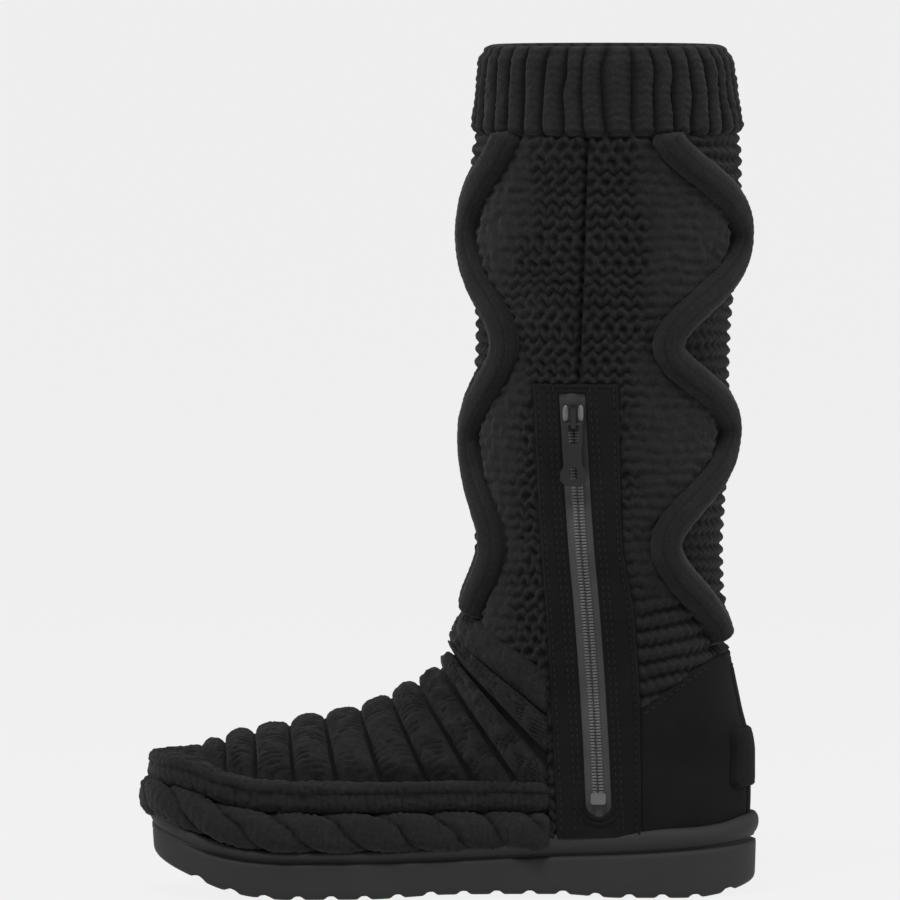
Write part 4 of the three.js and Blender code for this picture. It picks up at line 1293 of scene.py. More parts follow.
@dataclass
class Lining(Piece):
    """Inner face of foot and shaft."""

    low_z: float = 24.0
    under_rim: float = 40.0
    pile: float = 0.5

    def make(self) -> list[bpy.types.Object]:
        """Builds the lining of the shaft and of the foot.

        Returns:
            The two linings.
        """
        levels = np.linspace(self.low_z, RIM_Z - self.under_rim, 80)
        turns = np.linspace(0, 2 * np.pi, 110, endpoint=False)
        z, t = np.meshgrid(levels, turns, indexing="ij")
        noise = Noise(41, (80, 80))(t / (2 * np.pi) * 80, z / 4)
        shaft = FORM.shaft_point(z, t, -WALL + self.pile * noise)
        keep = ~FORM.in_foot(shaft, -WALL - 1)
        high = MeshMaker.grid("lining_shaft", shaft[:, ::-1], True, keep[:, ::-1])
        self.dress(high, self.finishes.lining, "lining_fleece", "upper")
        row, way = np.meshgrid(np.linspace(0.2, 12.5, 60), np.linspace(-1, 1, 81), indexing="ij")
        lift = np.pi / 2 * (1 - np.abs(way))
        hand = np.where(way < 0, -1.0, 1.0)
        noise = Noise(42, (80, 80))(way * 20, row * 4)
        foot = FORM.foot_point(row, lift, hand, -WALL + self.pile * noise)
        keep = ~FORM.in_shaft(foot, -WALL - 1)
        low = MeshMaker.grid("lining_foot", foot[:, ::-1], False, keep[:, ::-1])
        self.dress(low, self.finishes.lining, "lining_fleece", "upper")
        return [high, low]


@dataclass
class WaveCord(Piece):
    """One cord laid on the shaft."""

    name: str
    path: CordPath
    side: Side
    radius: float = 7.1
    lift: float = 1.6
    step: float = 1.0
    around: int = 40
    wales: int = 16
    stitch: float = 3.0
    top_run: float = 3.0
    low_run: float = 8.0
    top_sink: float = 4.0
    low_sink: float = 9.0
    end_share: float = 0.55
    shown_from: float = -0.35

    def make(self) -> bpy.types.Object:
        """Builds the cord as a tube with fine stitches.

        Returns:
            The cord.
        """
        ends = len(self.path.turns) - 1
        fine = np.linspace(0, ends, 1200)
        line = self.on_shaft(fine, self.lift)
        length = np.concatenate([[0], np.cumsum(np.linalg.norm(np.diff(line, axis=0), axis=1))])
        along = np.linspace(0, length[-1], int(length[-1] / self.step))
        place = np.interp(along, length, fine)
        base = self.on_shaft(place, self.lift)
        out = self.on_shaft(place, self.lift + 1) - base
        out /= np.linalg.norm(out, axis=1, keepdims=True)
        ahead = np.gradient(base, axis=0)
        ahead /= np.linalg.norm(ahead, axis=1, keepdims=True)
        across = np.cross(ahead, out)
        across /= np.linalg.norm(across, axis=1, keepdims=True)
        first = smooth(along, 0, self.top_run)
        last = 1 - smooth(along, along[-1] - self.low_run, along[-1])
        base = base - out * (self.top_sink * (1 - first) + self.low_sink * (1 - last))[:, None]
        a = np.linspace(-np.pi, np.pi, self.around, endpoint=False)
        aa, ll = np.meshgrid(a, along)
        wale = aa / (2 * np.pi) * self.wales
        tilt = np.abs((wale % 1) - 0.5)
        stitch = np.abs(np.sin(np.pi * (ll / self.stitch + tilt)))
        lumps = Noise(51 + ends, (16, 64))(wale, ll / 7)
        quick = Noise(52 + ends, (64, 128))(aa / (2 * np.pi) * 64, ll / 1.5)
        knit = 0.28 * pillow(wale, 0.6) + 0.18 * stitch + 0.22 * lumps + 0.15 * quick - 0.4
        radius = (self.radius + knit) * mix(self.end_share, 1.0, (first * last)[:, None])
        points = (
            base[:, None]
            + across[:, None] * (np.sin(aa) * radius)[..., None]
            + out[:, None] * (np.cos(aa) * radius)[..., None]
        )
        keep = np.cos(aa) > self.shown_from
        flip = points if self.side is Side.INNER else points[:, ::-1]
        keep = keep if self.side is Side.INNER else keep[:, ::-1]
        # Painted shade in the grooves between the cord's wales and stitches.
        relief = pillow(wale, 0.6) * (0.7 + 0.3 * stitch)
        name = self.name.replace("wave_cord", "cord")
        obj = MeshMaker.grid(name, flip, True, keep, relief)
        MeshMaker.weld(obj)
        return self.dress(obj, self.finishes.cord, "knit_wool", self.name)

    def on_shaft(self, place: Array, lift: float) -> Array:
        """Point of the cord's path, at a height over the wall.

        Args:
            place: place along the cord, in turning points from its top.
            lift: how far out from the wall.

        Returns:
            The points.
        """
        angle = np.radians(self.path.angle(place))
        turn = angle if self.path.from_back else np.pi - angle
        point = FORM.shaft_point(self.path.height(place), turn, lift)
        return point * np.array([1.0, -self.side.value, 1.0])


@dataclass
class FootTrim(Piece):
    """Knitted band or braid round the foot."""

    name: str
    height: float
    proud: float
    level: Curve
    step: float = 0.8
    around: int = 26
    start_x: float = 44.0
    end_x: float = 82.0
    deep: float = -0.6
    crest: float = 0.6
    end_run: float = 6.0
    buried: float = 6.0
    wall_z: float = 40.0
    middle_x: float = -40.0

    def line(self) -> tuple[Array, Array, Array]:
        """Points along the trim, their outward directions and their places in mm.

        Returns:
            Points, directions and places.
        """
        toe = TOE_ROUND_X - TOE_X - FOOT_INSET
        bend = np.sin(np.linspace(0, np.pi / 2, 160)) ** (2 / TOE_POWER)
        tip = TOE_ROUND_X - toe * bend
        inner = np.concatenate([np.linspace(self.start_x, TOE_ROUND_X, 120)[:-1], tip])
        outer = np.concatenate([tip[::-1][1:], np.linspace(TOE_ROUND_X, self.end_x, 150)[1:]])
        x = np.concatenate([inner, outer])
        hand = np.concatenate([-np.ones_like(inner), np.ones_like(outer)])
        half = mix(
            FORM.plan_half(x, FOOT_INSET),
            soft_max(FORM.shaft_half(x, np.full_like(x, self.wall_z), 0), np.zeros_like(x), 1),
            smooth(x, 0, 40),
        )
        points = np.stack([x, FORM.foot_middle(x) + hand * half, self.level(x)], -1)
        length = np.concatenate([[0], np.cumsum(np.linalg.norm(np.diff(points, axis=0), axis=1))])
        along = np.linspace(0, length[-1], int(length[-1] / self.step))
        points = np.stack([np.interp(along, length, points[:, k]) for k in range(3)], -1)
        ahead = np.gradient(points, axis=0)
        for _ in range(6):
            ahead[1:-1] = (ahead[:-2] + ahead[1:-1] * 2 + ahead[2:]) / 4
        ahead[:, 2] = 0
        ahead /= np.linalg.norm(ahead, axis=1, keepdims=True)
        out = np.stack([ahead[:, 1], -ahead[:, 0], np.zeros(len(ahead))], -1)
        from_middle = points[:, :2] - np.array([self.middle_x, 0.0])
        out *= np.sign(np.sum(out[:, :2] * from_middle, 1))[:, None]
        return points, out, along

    def relief(self, a: Array, s: Array) -> Array:
        """Height of the knit over the trim's plain section."""
        raise NotImplementedError

    def make(self) -> bpy.types.Object:
        """Builds the trim as a half round with its relief.

        Returns:
            The trim.
        """
        points, out, along = self.line()
        angles = np.linspace(-np.pi / 2, np.pi / 2, self.around)
        ss, aa = np.meshgrid(along, angles, indexing="ij")
        away = np.minimum(along, along[-1] - along)
        end = np.sqrt(np.clip(1 - (1 - np.clip(away / self.end_run, 0, 1)) ** 2, 0.02, 1))
        c, s = np.cos(aa), np.sin(aa)
        relief = self.relief(aa, ss)
        reach = (np.maximum(c, 0) ** 0.7 * self.proud + relief * c) * end[:, None]
        rise = np.sign(s) * np.abs(s) ** 0.8 * self.height / 2 * mix(0.35, 1.0, end)[:, None]
        rise = rise + relief * s
        grid = points[:, None] + out[:, None] * reach[..., None]
        grid[..., 2] += rise
        inward = out[:, None] * self.buried
        grid = np.concatenate([grid[:, :1] - inward, grid, grid[:, -1:] - inward], 1)
        # Painted shade: the colour darkens from the stitch crests down into the grooves.
        crest = smooth(relief, self.deep, self.crest)
        crest = np.concatenate([crest[:, :1], crest, crest[:, -1:]], 1)
        obj = MeshMaker.grid(self.name.replace("foot_", ""), grid, False, relief=crest)
        return self.dress(obj, self.finishes.knit, "knit_wool", self.name)


@dataclass
class Band(FootTrim):
    """Garter-stitch band over the braid."""

    rows: float = 2.0
    stitch: float = 3.1

    def relief(self, a: Array, s: Array) -> Array:
        """Two rows of short stitches.

        Args:
            a: angle round the section.
            s: place along the trim, in mm.

        Returns:
            The heights.
        """
        slow = Noise(61, (64, 64))(s / 11, a * 2)
        quick = Noise(62, (256, 64))(s / 1.7, a * 7)
        v = (np.sin(a) * 0.5 + 0.5) ** 1.3 * self.rows + 0.1 * slow
        row = pillow(v, 0.5)
        stitch = pillow(s / self.stitch + 0.5 * np.floor(v) + 0.3 * slow, 0.6)
        return 0.9 * row + 0.6 * stitch * row + 0.4 * quick - 0.8


@dataclass
class Braid(FootTrim):
    """Two thick strands laid round each other under the band."""

    pitch: float = 23.0
    slant: float = 1.05
    stitch: float = 3.3
    deep: float = -2.0
    crest: float = 0.3

    def relief(self, a: Array, s: Array) -> Array:
        """Slanting strands with fine stitches along them.

        Args:
            a: angle round the section.
            s: place along the trim, in mm.

        Returns:
            The heights.
        """
        slow = Noise(71, (64, 64))(s / 17, a * 1.5)
        quick = Noise(72, (256, 64))(s / 1.7, a * 7)
        phase = s / self.pitch - self.slant * a / np.pi + 0.09 * slow
        strand = np.abs(np.sin(np.pi * phase)) ** 0.42
        stitch = pillow(s / self.stitch + 1.6 * a / np.pi + 0.2 * slow, 0.6)
        return 2.4 * strand + 0.6 * stitch * strand + 0.5 * quick - 1.9


@dataclass
class Sole(Piece):
    """Foam sole with its bead, side groove and cross lugs."""

    ends: int = 60
    middle: int = 190
    across: int = 8
    channel_first: float = -110.0
    channel_last: float = 122.0
    channel_pitch: float = 14.5
    mouth: float = 6.0
    floor: float = 3.4
    depth: float = 1.7
    wall_inset: tuple[float, float] = (1.6, 1.2)
    bead_radius: float = 3.4
    groove_levels: range = range(14, 24)
    groove_insets: tuple[float, float] = (2.0, 4.0)
    plain_toe: tuple[float, float] = (-122.0, -98.0)

    def stations(self, inset: float) -> Array:
        """Places along the plan from heel tip to toe tip.

        Args:
            inset: how far in from the plan's edge.

        Returns:
            The places.
        """
        toe = TOE_ROUND_X - TOE_X - inset
        heel = HEEL_X - HEEL_ROUND_X - inset
        back = np.cos(np.linspace(0, 1, self.ends, endpoint=False) * np.pi / 2)
        front = np.sin(np.linspace(0, 1, self.ends + 1) * np.pi / 2)
        return np.concatenate([
            HEEL_ROUND_X + heel * back ** (2 / HEEL_POWER),
            np.linspace(HEEL_ROUND_X, TOE_ROUND_X, self.middle, endpoint=False),
            TOE_ROUND_X - toe * front ** (2 / TOE_POWER),
        ])

    def channel(self, x: Array) -> Array:
        """How deep the tread is cut at a place along the sole.

        Args:
            x: place along the boot, toe at the negative end.

        Returns:
            The depths.
        """
        number = np.round((x - self.channel_first) / self.channel_pitch)
        last = np.floor((self.channel_last - self.channel_first) / self.channel_pitch)
        centre = self.channel_first + np.clip(number, 0, last) * self.channel_pitch
        off = np.abs(x - centre)
        return self.depth * (1 - smooth(off, self.floor / 4, self.mouth / 2 + 0.6))

    def ring(self, inset: float, height: Callable[[Array], Array]) -> Array:
        """Ring round the plan at a height that follows the length.

        Args:
            inset: how far in from the plan's edge.
            height: height as a function of the length.

        Returns:
            The ring's points.
        """
        x = self.stations(inset)
        half, middle = FORM.plan_half(x, inset), PLAN.centre(x)
        z = height(x)
        inner = np.stack([x, middle - half, z], -1)
        outer = np.stack([x, middle + half, z], -1)[1:-1][::-1]
        return np.concatenate([inner, outer])

    def profile(self) -> list[tuple[float, Callable[[Array], Array]]]:
        """Levels of the side, from the tread up over the bead to the footbed.

        Returns:
            The inset and the height of each level.
        """
        groove, bead, under = SIDE.groove, SIDE.bead, SIDE.under

        def cut(x: Array) -> Array:
            """Height of the tread with its channels."""
            return under(x) + self.channel(x)

        levels: list[tuple[float, Callable[[Array], Array]]] = [
            (4.2, cut),
            (3.0, lambda x: np.maximum(cut(x), under(x) + 0.25)),
            (2.2, lambda x: np.maximum(cut(x), under(x) + 0.9)),
            (1.8, lambda x: np.maximum(cut(x) + 0.05, under(x) + 1.9)),
            (1.65, lambda x: np.maximum(cut(x) + 0.4, under(x) + 3.0)),
        ]
        low, high = self.wall_inset
        for k in np.linspace(0.12, 0.92, 9):
            levels.append((
                low + (high - low) * k,
                lambda x, k=k: mix(under(x) + 3.2, groove(x) - 1.8, k),
            ))
        levels += [
            (1.35, lambda x: groove(x) - 1.5), (2.2, lambda x: groove(x) - 0.95),
            (3.3, lambda x: groove(x) - 0.5), (3.7, groove),
            (3.3, lambda x: groove(x) + 0.45), (2.0, lambda x: groove(x) + 0.95),
        ]
        for a in np.radians(np.linspace(-60, 90, 13)):
            levels.append((
                self.bead_radius * (1 - math.cos(a)),
                lambda x, a=a: mix(groove(x) + 1.2, bead(x), 0.5 + 0.5 * math.sin(a)),
            ))
        levels += [
            (6.0, lambda x: bead(x) - 0.15), (8.0, lambda x: bead(x) - 1.5), (8.5, SIDE.bed)]
        return levels

    def make(self) -> bpy.types.Object:
        """Builds the sole as one closed mesh.

        Returns:
            The sole.
        """
        levels = self.profile()
        rings = np.stack([self.ring(inset, height) for inset, height in levels])
        plain = (1 - smooth(rings[..., 0], *self.plain_toe))[..., None]
        filled = np.stack([self.ring(min(inset, 1.0), height) for inset, height in levels])
        low, high = self.groove_insets
        in_groove = np.array([
            low <= inset <= high and k in self.groove_levels
            for k, (inset, _) in enumerate(levels)])
        rings = np.where(in_groove[:, None, None], mix(rings, filled, plain), rings)
        count = rings.shape[1]
        points = [rings.reshape(-1, 3)]
        quads = [MeshMaker.faces(len(levels), count, True)]
        stations = self.ends * 2 + self.middle + 1
        for ring, flip in ((rings[0], True), (rings[-1], False)):
            inner = ring[:stations]
            outer = np.concatenate([ring[:1], ring[stations:][::-1], ring[stations - 1:stations]])
            share = np.linspace(0, 1, self.across + 1)[None, :, None]
            cap = mix(inner[:, None], outer[:, None], share)
            start = sum(len(p) for p in points)
            points.append(cap.reshape(-1, 3))
            faces = MeshMaker.faces(stations, self.across + 1, False) + start
            quads.append(faces[:, ::-1] if flip else faces)
        obj = MeshMaker.build("sole", np.concatenate(points), np.concatenate(quads))
        MeshMaker.weld(obj, 2e-6)
        return self.dress(obj, self.finishes.sole, "sole_foam", "outsole")


@dataclass
class Insole(Piece):
    """Fleece-covered insole."""

    thick: float = 5.0
    reach: float = 121.0
    inset: float = 6.0
    heel_z: float = 32.0
    heel_from_x: float = 40.0
    heel_to_x: float = 60.0
    pile: float = 0.35

    def make(self) -> bpy.types.Object:
        """Builds the insole's padded top over its flat underside.

        Returns:
            The insole.
        """
        x = np.linspace(-self.reach, self.reach, 150)
        way = np.linspace(-1, 1, 41)
        xx, ww = np.meshgrid(x, way, indexing="ij")
        half = FORM.plan_half(xx, WALL + self.inset)
        heel = FORM.shaft_half(xx, np.full_like(xx, self.heel_z), -WALL - 0.5)
        heel = mix(half, heel, smooth(xx, self.heel_from_x, self.heel_to_x))
        half = np.where(xx > self.heel_from_x, np.minimum(half, heel), half)
        y = FORM.foot_middle(xx) + ww * half
        edge = np.sqrt(np.maximum(0, 1 - np.abs(ww) ** 8))
        noise = Noise(81, (90, 90))(xx / 3, y / 3)
        top = SIDE.bed(xx) + GAP + self.thick * mix(0.6, 1.0, edge) + self.pile * noise
        low = np.broadcast_to(SIDE.bed(xx) + GAP, xx.shape)
        upper = np.stack([xx, y, top], -1)
        under = np.stack([xx, y, low], -1)
        loop = np.concatenate([upper, under[:, ::-1]], 1)
        obj = MeshMaker.grid("insole_fleece", loop, True)
        work = bmesh.new()
        work.from_mesh(obj.data)
        bmesh.ops.holes_fill(work, edges=[e for e in work.edges if e.is_boundary])
        bmesh.ops.recalc_face_normals(work, faces=work.faces)
        work.to_mesh(obj.data)
        work.free()
        obj = self.dress(obj, self.finishes.lining, "lining_fleece", "insole")
        return obj


@dataclass
class Suede(Piece):
    """Suede pieces: zip facing, heel counter, back strip and plain heel patch."""

    thick: float = 2.0
    edge: float = 1.3
    window_half: float = 5.4
    window_low: float = 36.5
    window_high: float = 221.5
    low_z: float = 27.0
    keep_past: float = 0.9
    window_share: tuple[float, float] = (0.42, 0.58)
    groove: float = 0.35
    groove_half: float = 0.5
    fold: float = 0.7
    counter_low_z: float = 26.0
    plate_edge: float = 1.8

    def profile(self, distance: Array, thick: float, edge: float, sink: float) -> Array:
        """Height of a plate at a distance in from its edge; it dives under outside it."""
        inside = np.clip(distance / edge, 0, 1)
        return np.where(distance > 0, thick * np.sqrt(1 - (1 - inside) ** 2), -sink)

    def window(self, x: Array, z: Array) -> Array:
        """Distance out of the facing's window; negative in it.

        Args:
            x: place along the boot, toe at the negative end.
            z: height.

        Returns:
            The distances.
        """
        across = np.abs(x - FACING.zip(z))
        low = self.window_low + self.window_half
        below = np.hypot(across, low - z) - self.window_half
        body = np.maximum(across - self.window_half, z - self.window_high)
        return np.where(z < low, below, body)

    def facing(self) -> bpy.types.Object:
        """Builds the facing with its window, its fold and its raised back binding.

        Returns:
            The facing.
        """
        z = np.linspace(24, FACING_TOP_Z + 0.4, 370)
        share = np.linspace(0, 1, 86)
        zz, pp = np.meshgrid(z, share, indexing="ij")
        front, back, zip_x = FACING.front(zz), FACING.back(zz), FACING.zip(zz)
        left, right = zip_x - self.window_half, zip_x + self.window_half
        first, last = self.window_share
        across = mix(left, right, (pp - first) / (last - first))
        after = mix(right, back + 0.4, (pp - last) / (1 - last))
        before = mix(front - 0.4, left, pp / first)
        x = np.where(pp < first, before, np.where(pp < last, across, after))
        out = np.minimum(np.minimum(x - front, back - x), FACING_TOP_Z - zz)
        window = self.window(x, zz)
        distance = np.minimum(out, window)
        slow = Noise(91, (64, 64))(x / 8, zz / 11)
        plate = distance > 0
        grow = GAP + self.profile(distance, self.thick, self.edge, 1.2) + 0.12 * slow
        for line in (2.6, 5.0):
            seam = np.exp(-(((window - line) / self.groove_half) ** 2))
            grow = grow - self.groove * seam * plate
        for line in (1.6, 4.0):
            fold = np.exp(-(((window - line) / 0.9) ** 2)) * smooth(zz, 54, 42)
            grow = grow + self.fold * fold * plate
        grow = grow - self.groove * np.exp(-(((out - 2.2) / self.groove_half) ** 2))
        binding = np.exp(-(((back - x - 1.0) / 0.8) ** 2)) * (zz < 150)
        grow = grow + self.fold * binding * plate
        y = -FORM.shaft_half(x, zz, grow)
        points = np.stack([x, y, zz], -1)
        keep = (distance > -self.keep_past) & (zz > self.low_z)
        obj = MeshMaker.grid("suede_facing", points[:, ::-1], False, keep[:, ::-1])
        return self.dress(obj, self.finishes.suede, "suede", "zip_facing")

    def counter(self) -> bpy.types.Object:
        """Builds the counter round the heel.

        Returns:
            The counter.
        """
        up = np.linspace(0, 1, 110)
        way = np.linspace(-1, 1, 220)
        uu, ww = np.meshgrid(up, way, indexing="ij")
        z = np.full_like(uu, 60.0)
        for _ in range(8):
            turn = ww * FORM.turn_at_x(COUNTER_FRONT_X - 0.4, z, GAP + self.thick)
            x = FORM.shaft_point(z, turn, GAP + self.thick)[..., 0]
            z = mix(self.counter_low_z, COUNTER_TOP.z(x) + 0.3, uu)
        distance = np.minimum(COUNTER_TOP.z(x) - z, x - COUNTER_FRONT_X)
        slow = Noise(92, (64, 64))(x / 9 + 30 * (ww > 0), z / 9)
        grow = GAP + self.profile(distance, self.thick, self.edge, 1.2) + 0.18 * slow
        grow = grow - 0.3 * np.exp(-(((distance - 2.4) / self.groove_half) ** 2))
        points = FORM.shaft_point(z, turn, grow)
        obj = MeshMaker.grid("suede_counter", points, False, distance > -self.keep_past)
        return self.dress(obj, self.finishes.suede, "suede", "heel_counter")

    def back_plate(
        self, name: str, node: str, half: float, low: float, high: float,
        base: float, thick: float, corner: float,
    ) -> bpy.types.Object:
        """Builds a plate on the back of the heel.

        Args:
            name: the piece's name.
            node: the CAD node that it stands for.
            half: half width of the plate.
            low: height of its lower edge.
            high: height of its upper edge.
            base: how far over the wall it lies.
            thick: its thickness.
            corner: radius of its corners.

        Returns:
            The dressed plate.
        """
        z, way = np.meshgrid(np.linspace(low, high, 64), np.linspace(-1, 1, 64), indexing="ij")
        turn = np.sign(way) * FORM.turn_at_y(half, z, base + thick) * np.abs(way)
        place = FORM.shaft_point(z, turn, base + thick)
        du = np.abs(place[..., 1]) - (half - corner)
        dz = np.abs(z - (low + high) / 2) - ((high - low) / 2 - corner)
        distance = corner - np.hypot(np.maximum(du, 0), np.maximum(dz, 0))
        distance = np.where((du < 0) | (dz < 0), corner - np.maximum(du, dz), distance)
        grow = base + self.profile(distance, thick, self.plate_edge, 0.6)
        grow = grow - 0.2 * np.exp(-(((distance - 2.2) / 0.4) ** 2))
        points = FORM.shaft_point(z, turn, grow)
        obj = MeshMaker.grid(name, points, False, distance > -0.6)
        return self.dress(obj, self.finishes.suede, "suede", node)

    def make(self) -> list[bpy.types.Object]:
        """Builds all suede pieces.

        Returns:
            The pieces.
        """
        return [
            self.facing(),
            self.counter(),
            self.back_plate(
                "suede_back_strip", "back_strip", half=12.0, low=33.0, high=102.0,
                base=1.9, thick=1.0, corner=3.0),
            self.back_plate(
                "suede_heel_patch", "heel_patch", half=25.5, low=47.5, high=73.5,
                base=2.6, thick=2.2, corner=4.0),
        ]


class Repeater:
    """Geometry Nodes tree that sets copies of a shape along a line."""

    def __init__(self) -> None:
        """Makes the tree with its named inputs."""
        tree = bpy.data.node_groups.new("copies_along_line", "GeometryNodeTree")
        face = tree.interface
        face.new_socket("Line", in_out="INPUT", socket_type="NodeSocketGeometry")
        self.inputs = {
            name: face.new_socket(name, in_out="INPUT", socket_type=kind).identifier
            for name, kind in (
                ("Shape", "NodeSocketObject"), ("Spacing", "NodeSocketFloat"),
                ("Material", "NodeSocketMaterial"))
        }
        face.new_socket("Copies", in_out="OUTPUT", socket_type="NodeSocketGeometry")
        nodes = Nodes(tree)
        given = nodes.add("NodeGroupInput").outputs
        curve = nodes.add("GeometryNodeMeshToCurve", Mesh=given["Line"])
        even = nodes.add(
            "GeometryNodeResampleCurve", mode="LENGTH",
            Curve=curve.outputs["Curve"], Length=given["Spacing"])
        normal = nodes.add("GeometryNodeInputNamedAttribute", data_type="FLOAT_VECTOR", Name="out")
        tangent = nodes.add("GeometryNodeInputTangent")
        along = nodes.add(
            "FunctionNodeAlignEulerToVector", axis="X", Vector=tangent.outputs["Tangent"])
        facing = nodes.add(
            "FunctionNodeAlignEulerToVector", axis="Z", pivot_axis="X",
            Rotation=along.outputs["Rotation"], Vector=normal.outputs["Attribute"])
        shape = nodes.add("GeometryNodeObjectInfo", Object=given["Shape"])
        copies = nodes.add(
            "GeometryNodeInstanceOnPoints", Points=even.outputs["Curve"],
            Instance=shape.outputs["Geometry"], Rotation=facing.outputs["Rotation"])
        real = nodes.add("GeometryNodeRealizeInstances", Geometry=copies.outputs["Instances"])
        painted = nodes.add(
            "GeometryNodeSetMaterial",
            Geometry=real.outputs["Geometry"], Material=given["Material"])
        nodes.add("NodeGroupOutput", Copies=painted.outputs["Geometry"])
        self.tree = tree

    def along(
        self, name: str, lines: list[tuple[Array, Array]], shape: bpy.types.Object,
        spacing: float, material: bpy.types.Material,
    ) -> bpy.types.Object:
        """Plain mesh of copies along lines.

        Args:
            name: the piece's name.
            lines: points of each line and the outward direction at each point.
            shape: the shape to copy, along X, with Z outward.
            spacing: distance between copies in millimetres.
            material: the copies' finish.

        Returns:
            The realized mesh object.
        """
        carrier_mesh = bpy.data.meshes.new(name + "_lines")
        points = np.concatenate([p for p, _ in lines])
        outs = np.concatenate([o for _, o in lines])
        edges, start = [], 0
        for line, _ in lines:
            edges += [(start + i, start + i + 1) for i in range(len(line) - 1)]
            start += len(line)
        carrier_mesh.from_pydata(PLACE.metres(points).tolist(), edges, [])
        out = carrier_mesh.attributes.new("out", "FLOAT_VECTOR", "POINT")
        out.data.foreach_set("vector", outs.astype(np.float32).ravel())
        carrier = bpy.data.objects.new(name + "_carrier", carrier_mesh)
        bpy.context.scene.collection.objects.link(carrier)
        modifier = carrier.modifiers.new("copies", "NODES")
        modifier.node_group = self.tree
        modifier[self.inputs["Shape"]] = shape
        modifier[self.inputs["Spacing"]] = spacing * MM
        modifier[self.inputs["Material"]] = material
        bpy.context.view_layer.update()
        graph = bpy.context.evaluated_depsgraph_get()
        mesh = bpy.data.meshes.new_from_object(carrier.evaluated_get(graph), depsgraph=graph)
        mesh.name = name
        obj = bpy.data.objects.new(name, mesh)
        bpy.context.scene.collection.objects.link(obj)
        bpy.data.objects.remove(carrier)
        for polygon in mesh.polygons:
            polygon.use_smooth = True
        return obj


class Shapes:
    """Small shapes that are copied many times."""

    @staticmethod
    def pad(name: str, size: tuple[float, float, float]) -> bpy.types.Object:
        """Rounded bar of the given length, width and height in millimetres.

        Args:
            name: the shape's name.
            size: length, width and height in millimetres.

        Returns:
            The shape.
        """
        mesh = bpy.data.meshes.new(name)
        work = bmesh.new()
        bmesh.ops.create_uvsphere(work, u_segments=8, v_segments=5, radius=0.5)
        for vertex in work.verts:
            co = Vector((vertex.co.z, vertex.co.x, vertex.co.y)) * 2
            shaped = [math.copysign(abs(c) ** 0.7, c) / 2 for c in co]
            vertex.co = Vector([shaped[i] * size[i] * MM for i in range(3)])
        bmesh.ops.recalc_face_normals(work, faces=work.faces)
        work.to_mesh(mesh)
        work.free()
        return bpy.data.objects.new(name, mesh)


@dataclass
class Stitching(Piece):
    """Stitch lines on the suede."""

    repeater: Repeater
    spacing: float = 3.3
    length: float = 2.5
    width: float = 0.75
    height: float = 0.5
    edge_lines: float = 2.2
    window_lines: tuple[float, ...] = (8.0, -8.0, 10.4, -10.4)
    counter_line: float = 2.4

    def wall_line(
        self, x: Array, z: Array, grow: float, side: Side = Side.INNER
    ) -> tuple[Array, Array]:
        """Line on a plate over the wall, with its outward directions.

        Args:
            x: place along the boot, toe at the negative end.
            z: height.
            grow: how far out from the wall.
            side: the boot's side.

        Returns:
            The line's points and directions.
        """
        half = FORM.shaft_half(x, z, grow)
        points = np.stack([x, side.value * half, z], -1)
        beyond = np.stack([x, side.value * FORM.shaft_half(x, z, grow + 1), z], -1)
        out = beyond - points
        return points, out / np.maximum(np.linalg.norm(out, axis=1, keepdims=True), 1e-9)

    def make(self) -> bpy.types.Object:
        """Builds every stitch as one mesh.

        Returns:
            The stitches.
        """
        z = np.linspace(31, 223.5, 200)
        lines = []
        for base, way in ((FACING.front, 1), (FACING.back, -1)):
            lines.append(self.wall_line(base(z) + way * self.edge_lines, z, 2.15))
        for offset in self.window_lines:
            lines.append(self.wall_line(FACING.zip(z) + offset, z, 2.1))
        x = np.linspace(86, 112, 60)
        for side in Side:
            lines.append(self.wall_line(x, COUNTER_TOP.z(x) - self.counter_line, 2.2, side))
        shape = Shapes.pad("stitch_shape", (self.length, self.width, self.height))
        obj = self.repeater.along(
            "suede_stitches", lines, shape, self.spacing, self.finishes.thread)
        return self.dress(obj, self.finishes.thread, "suede")


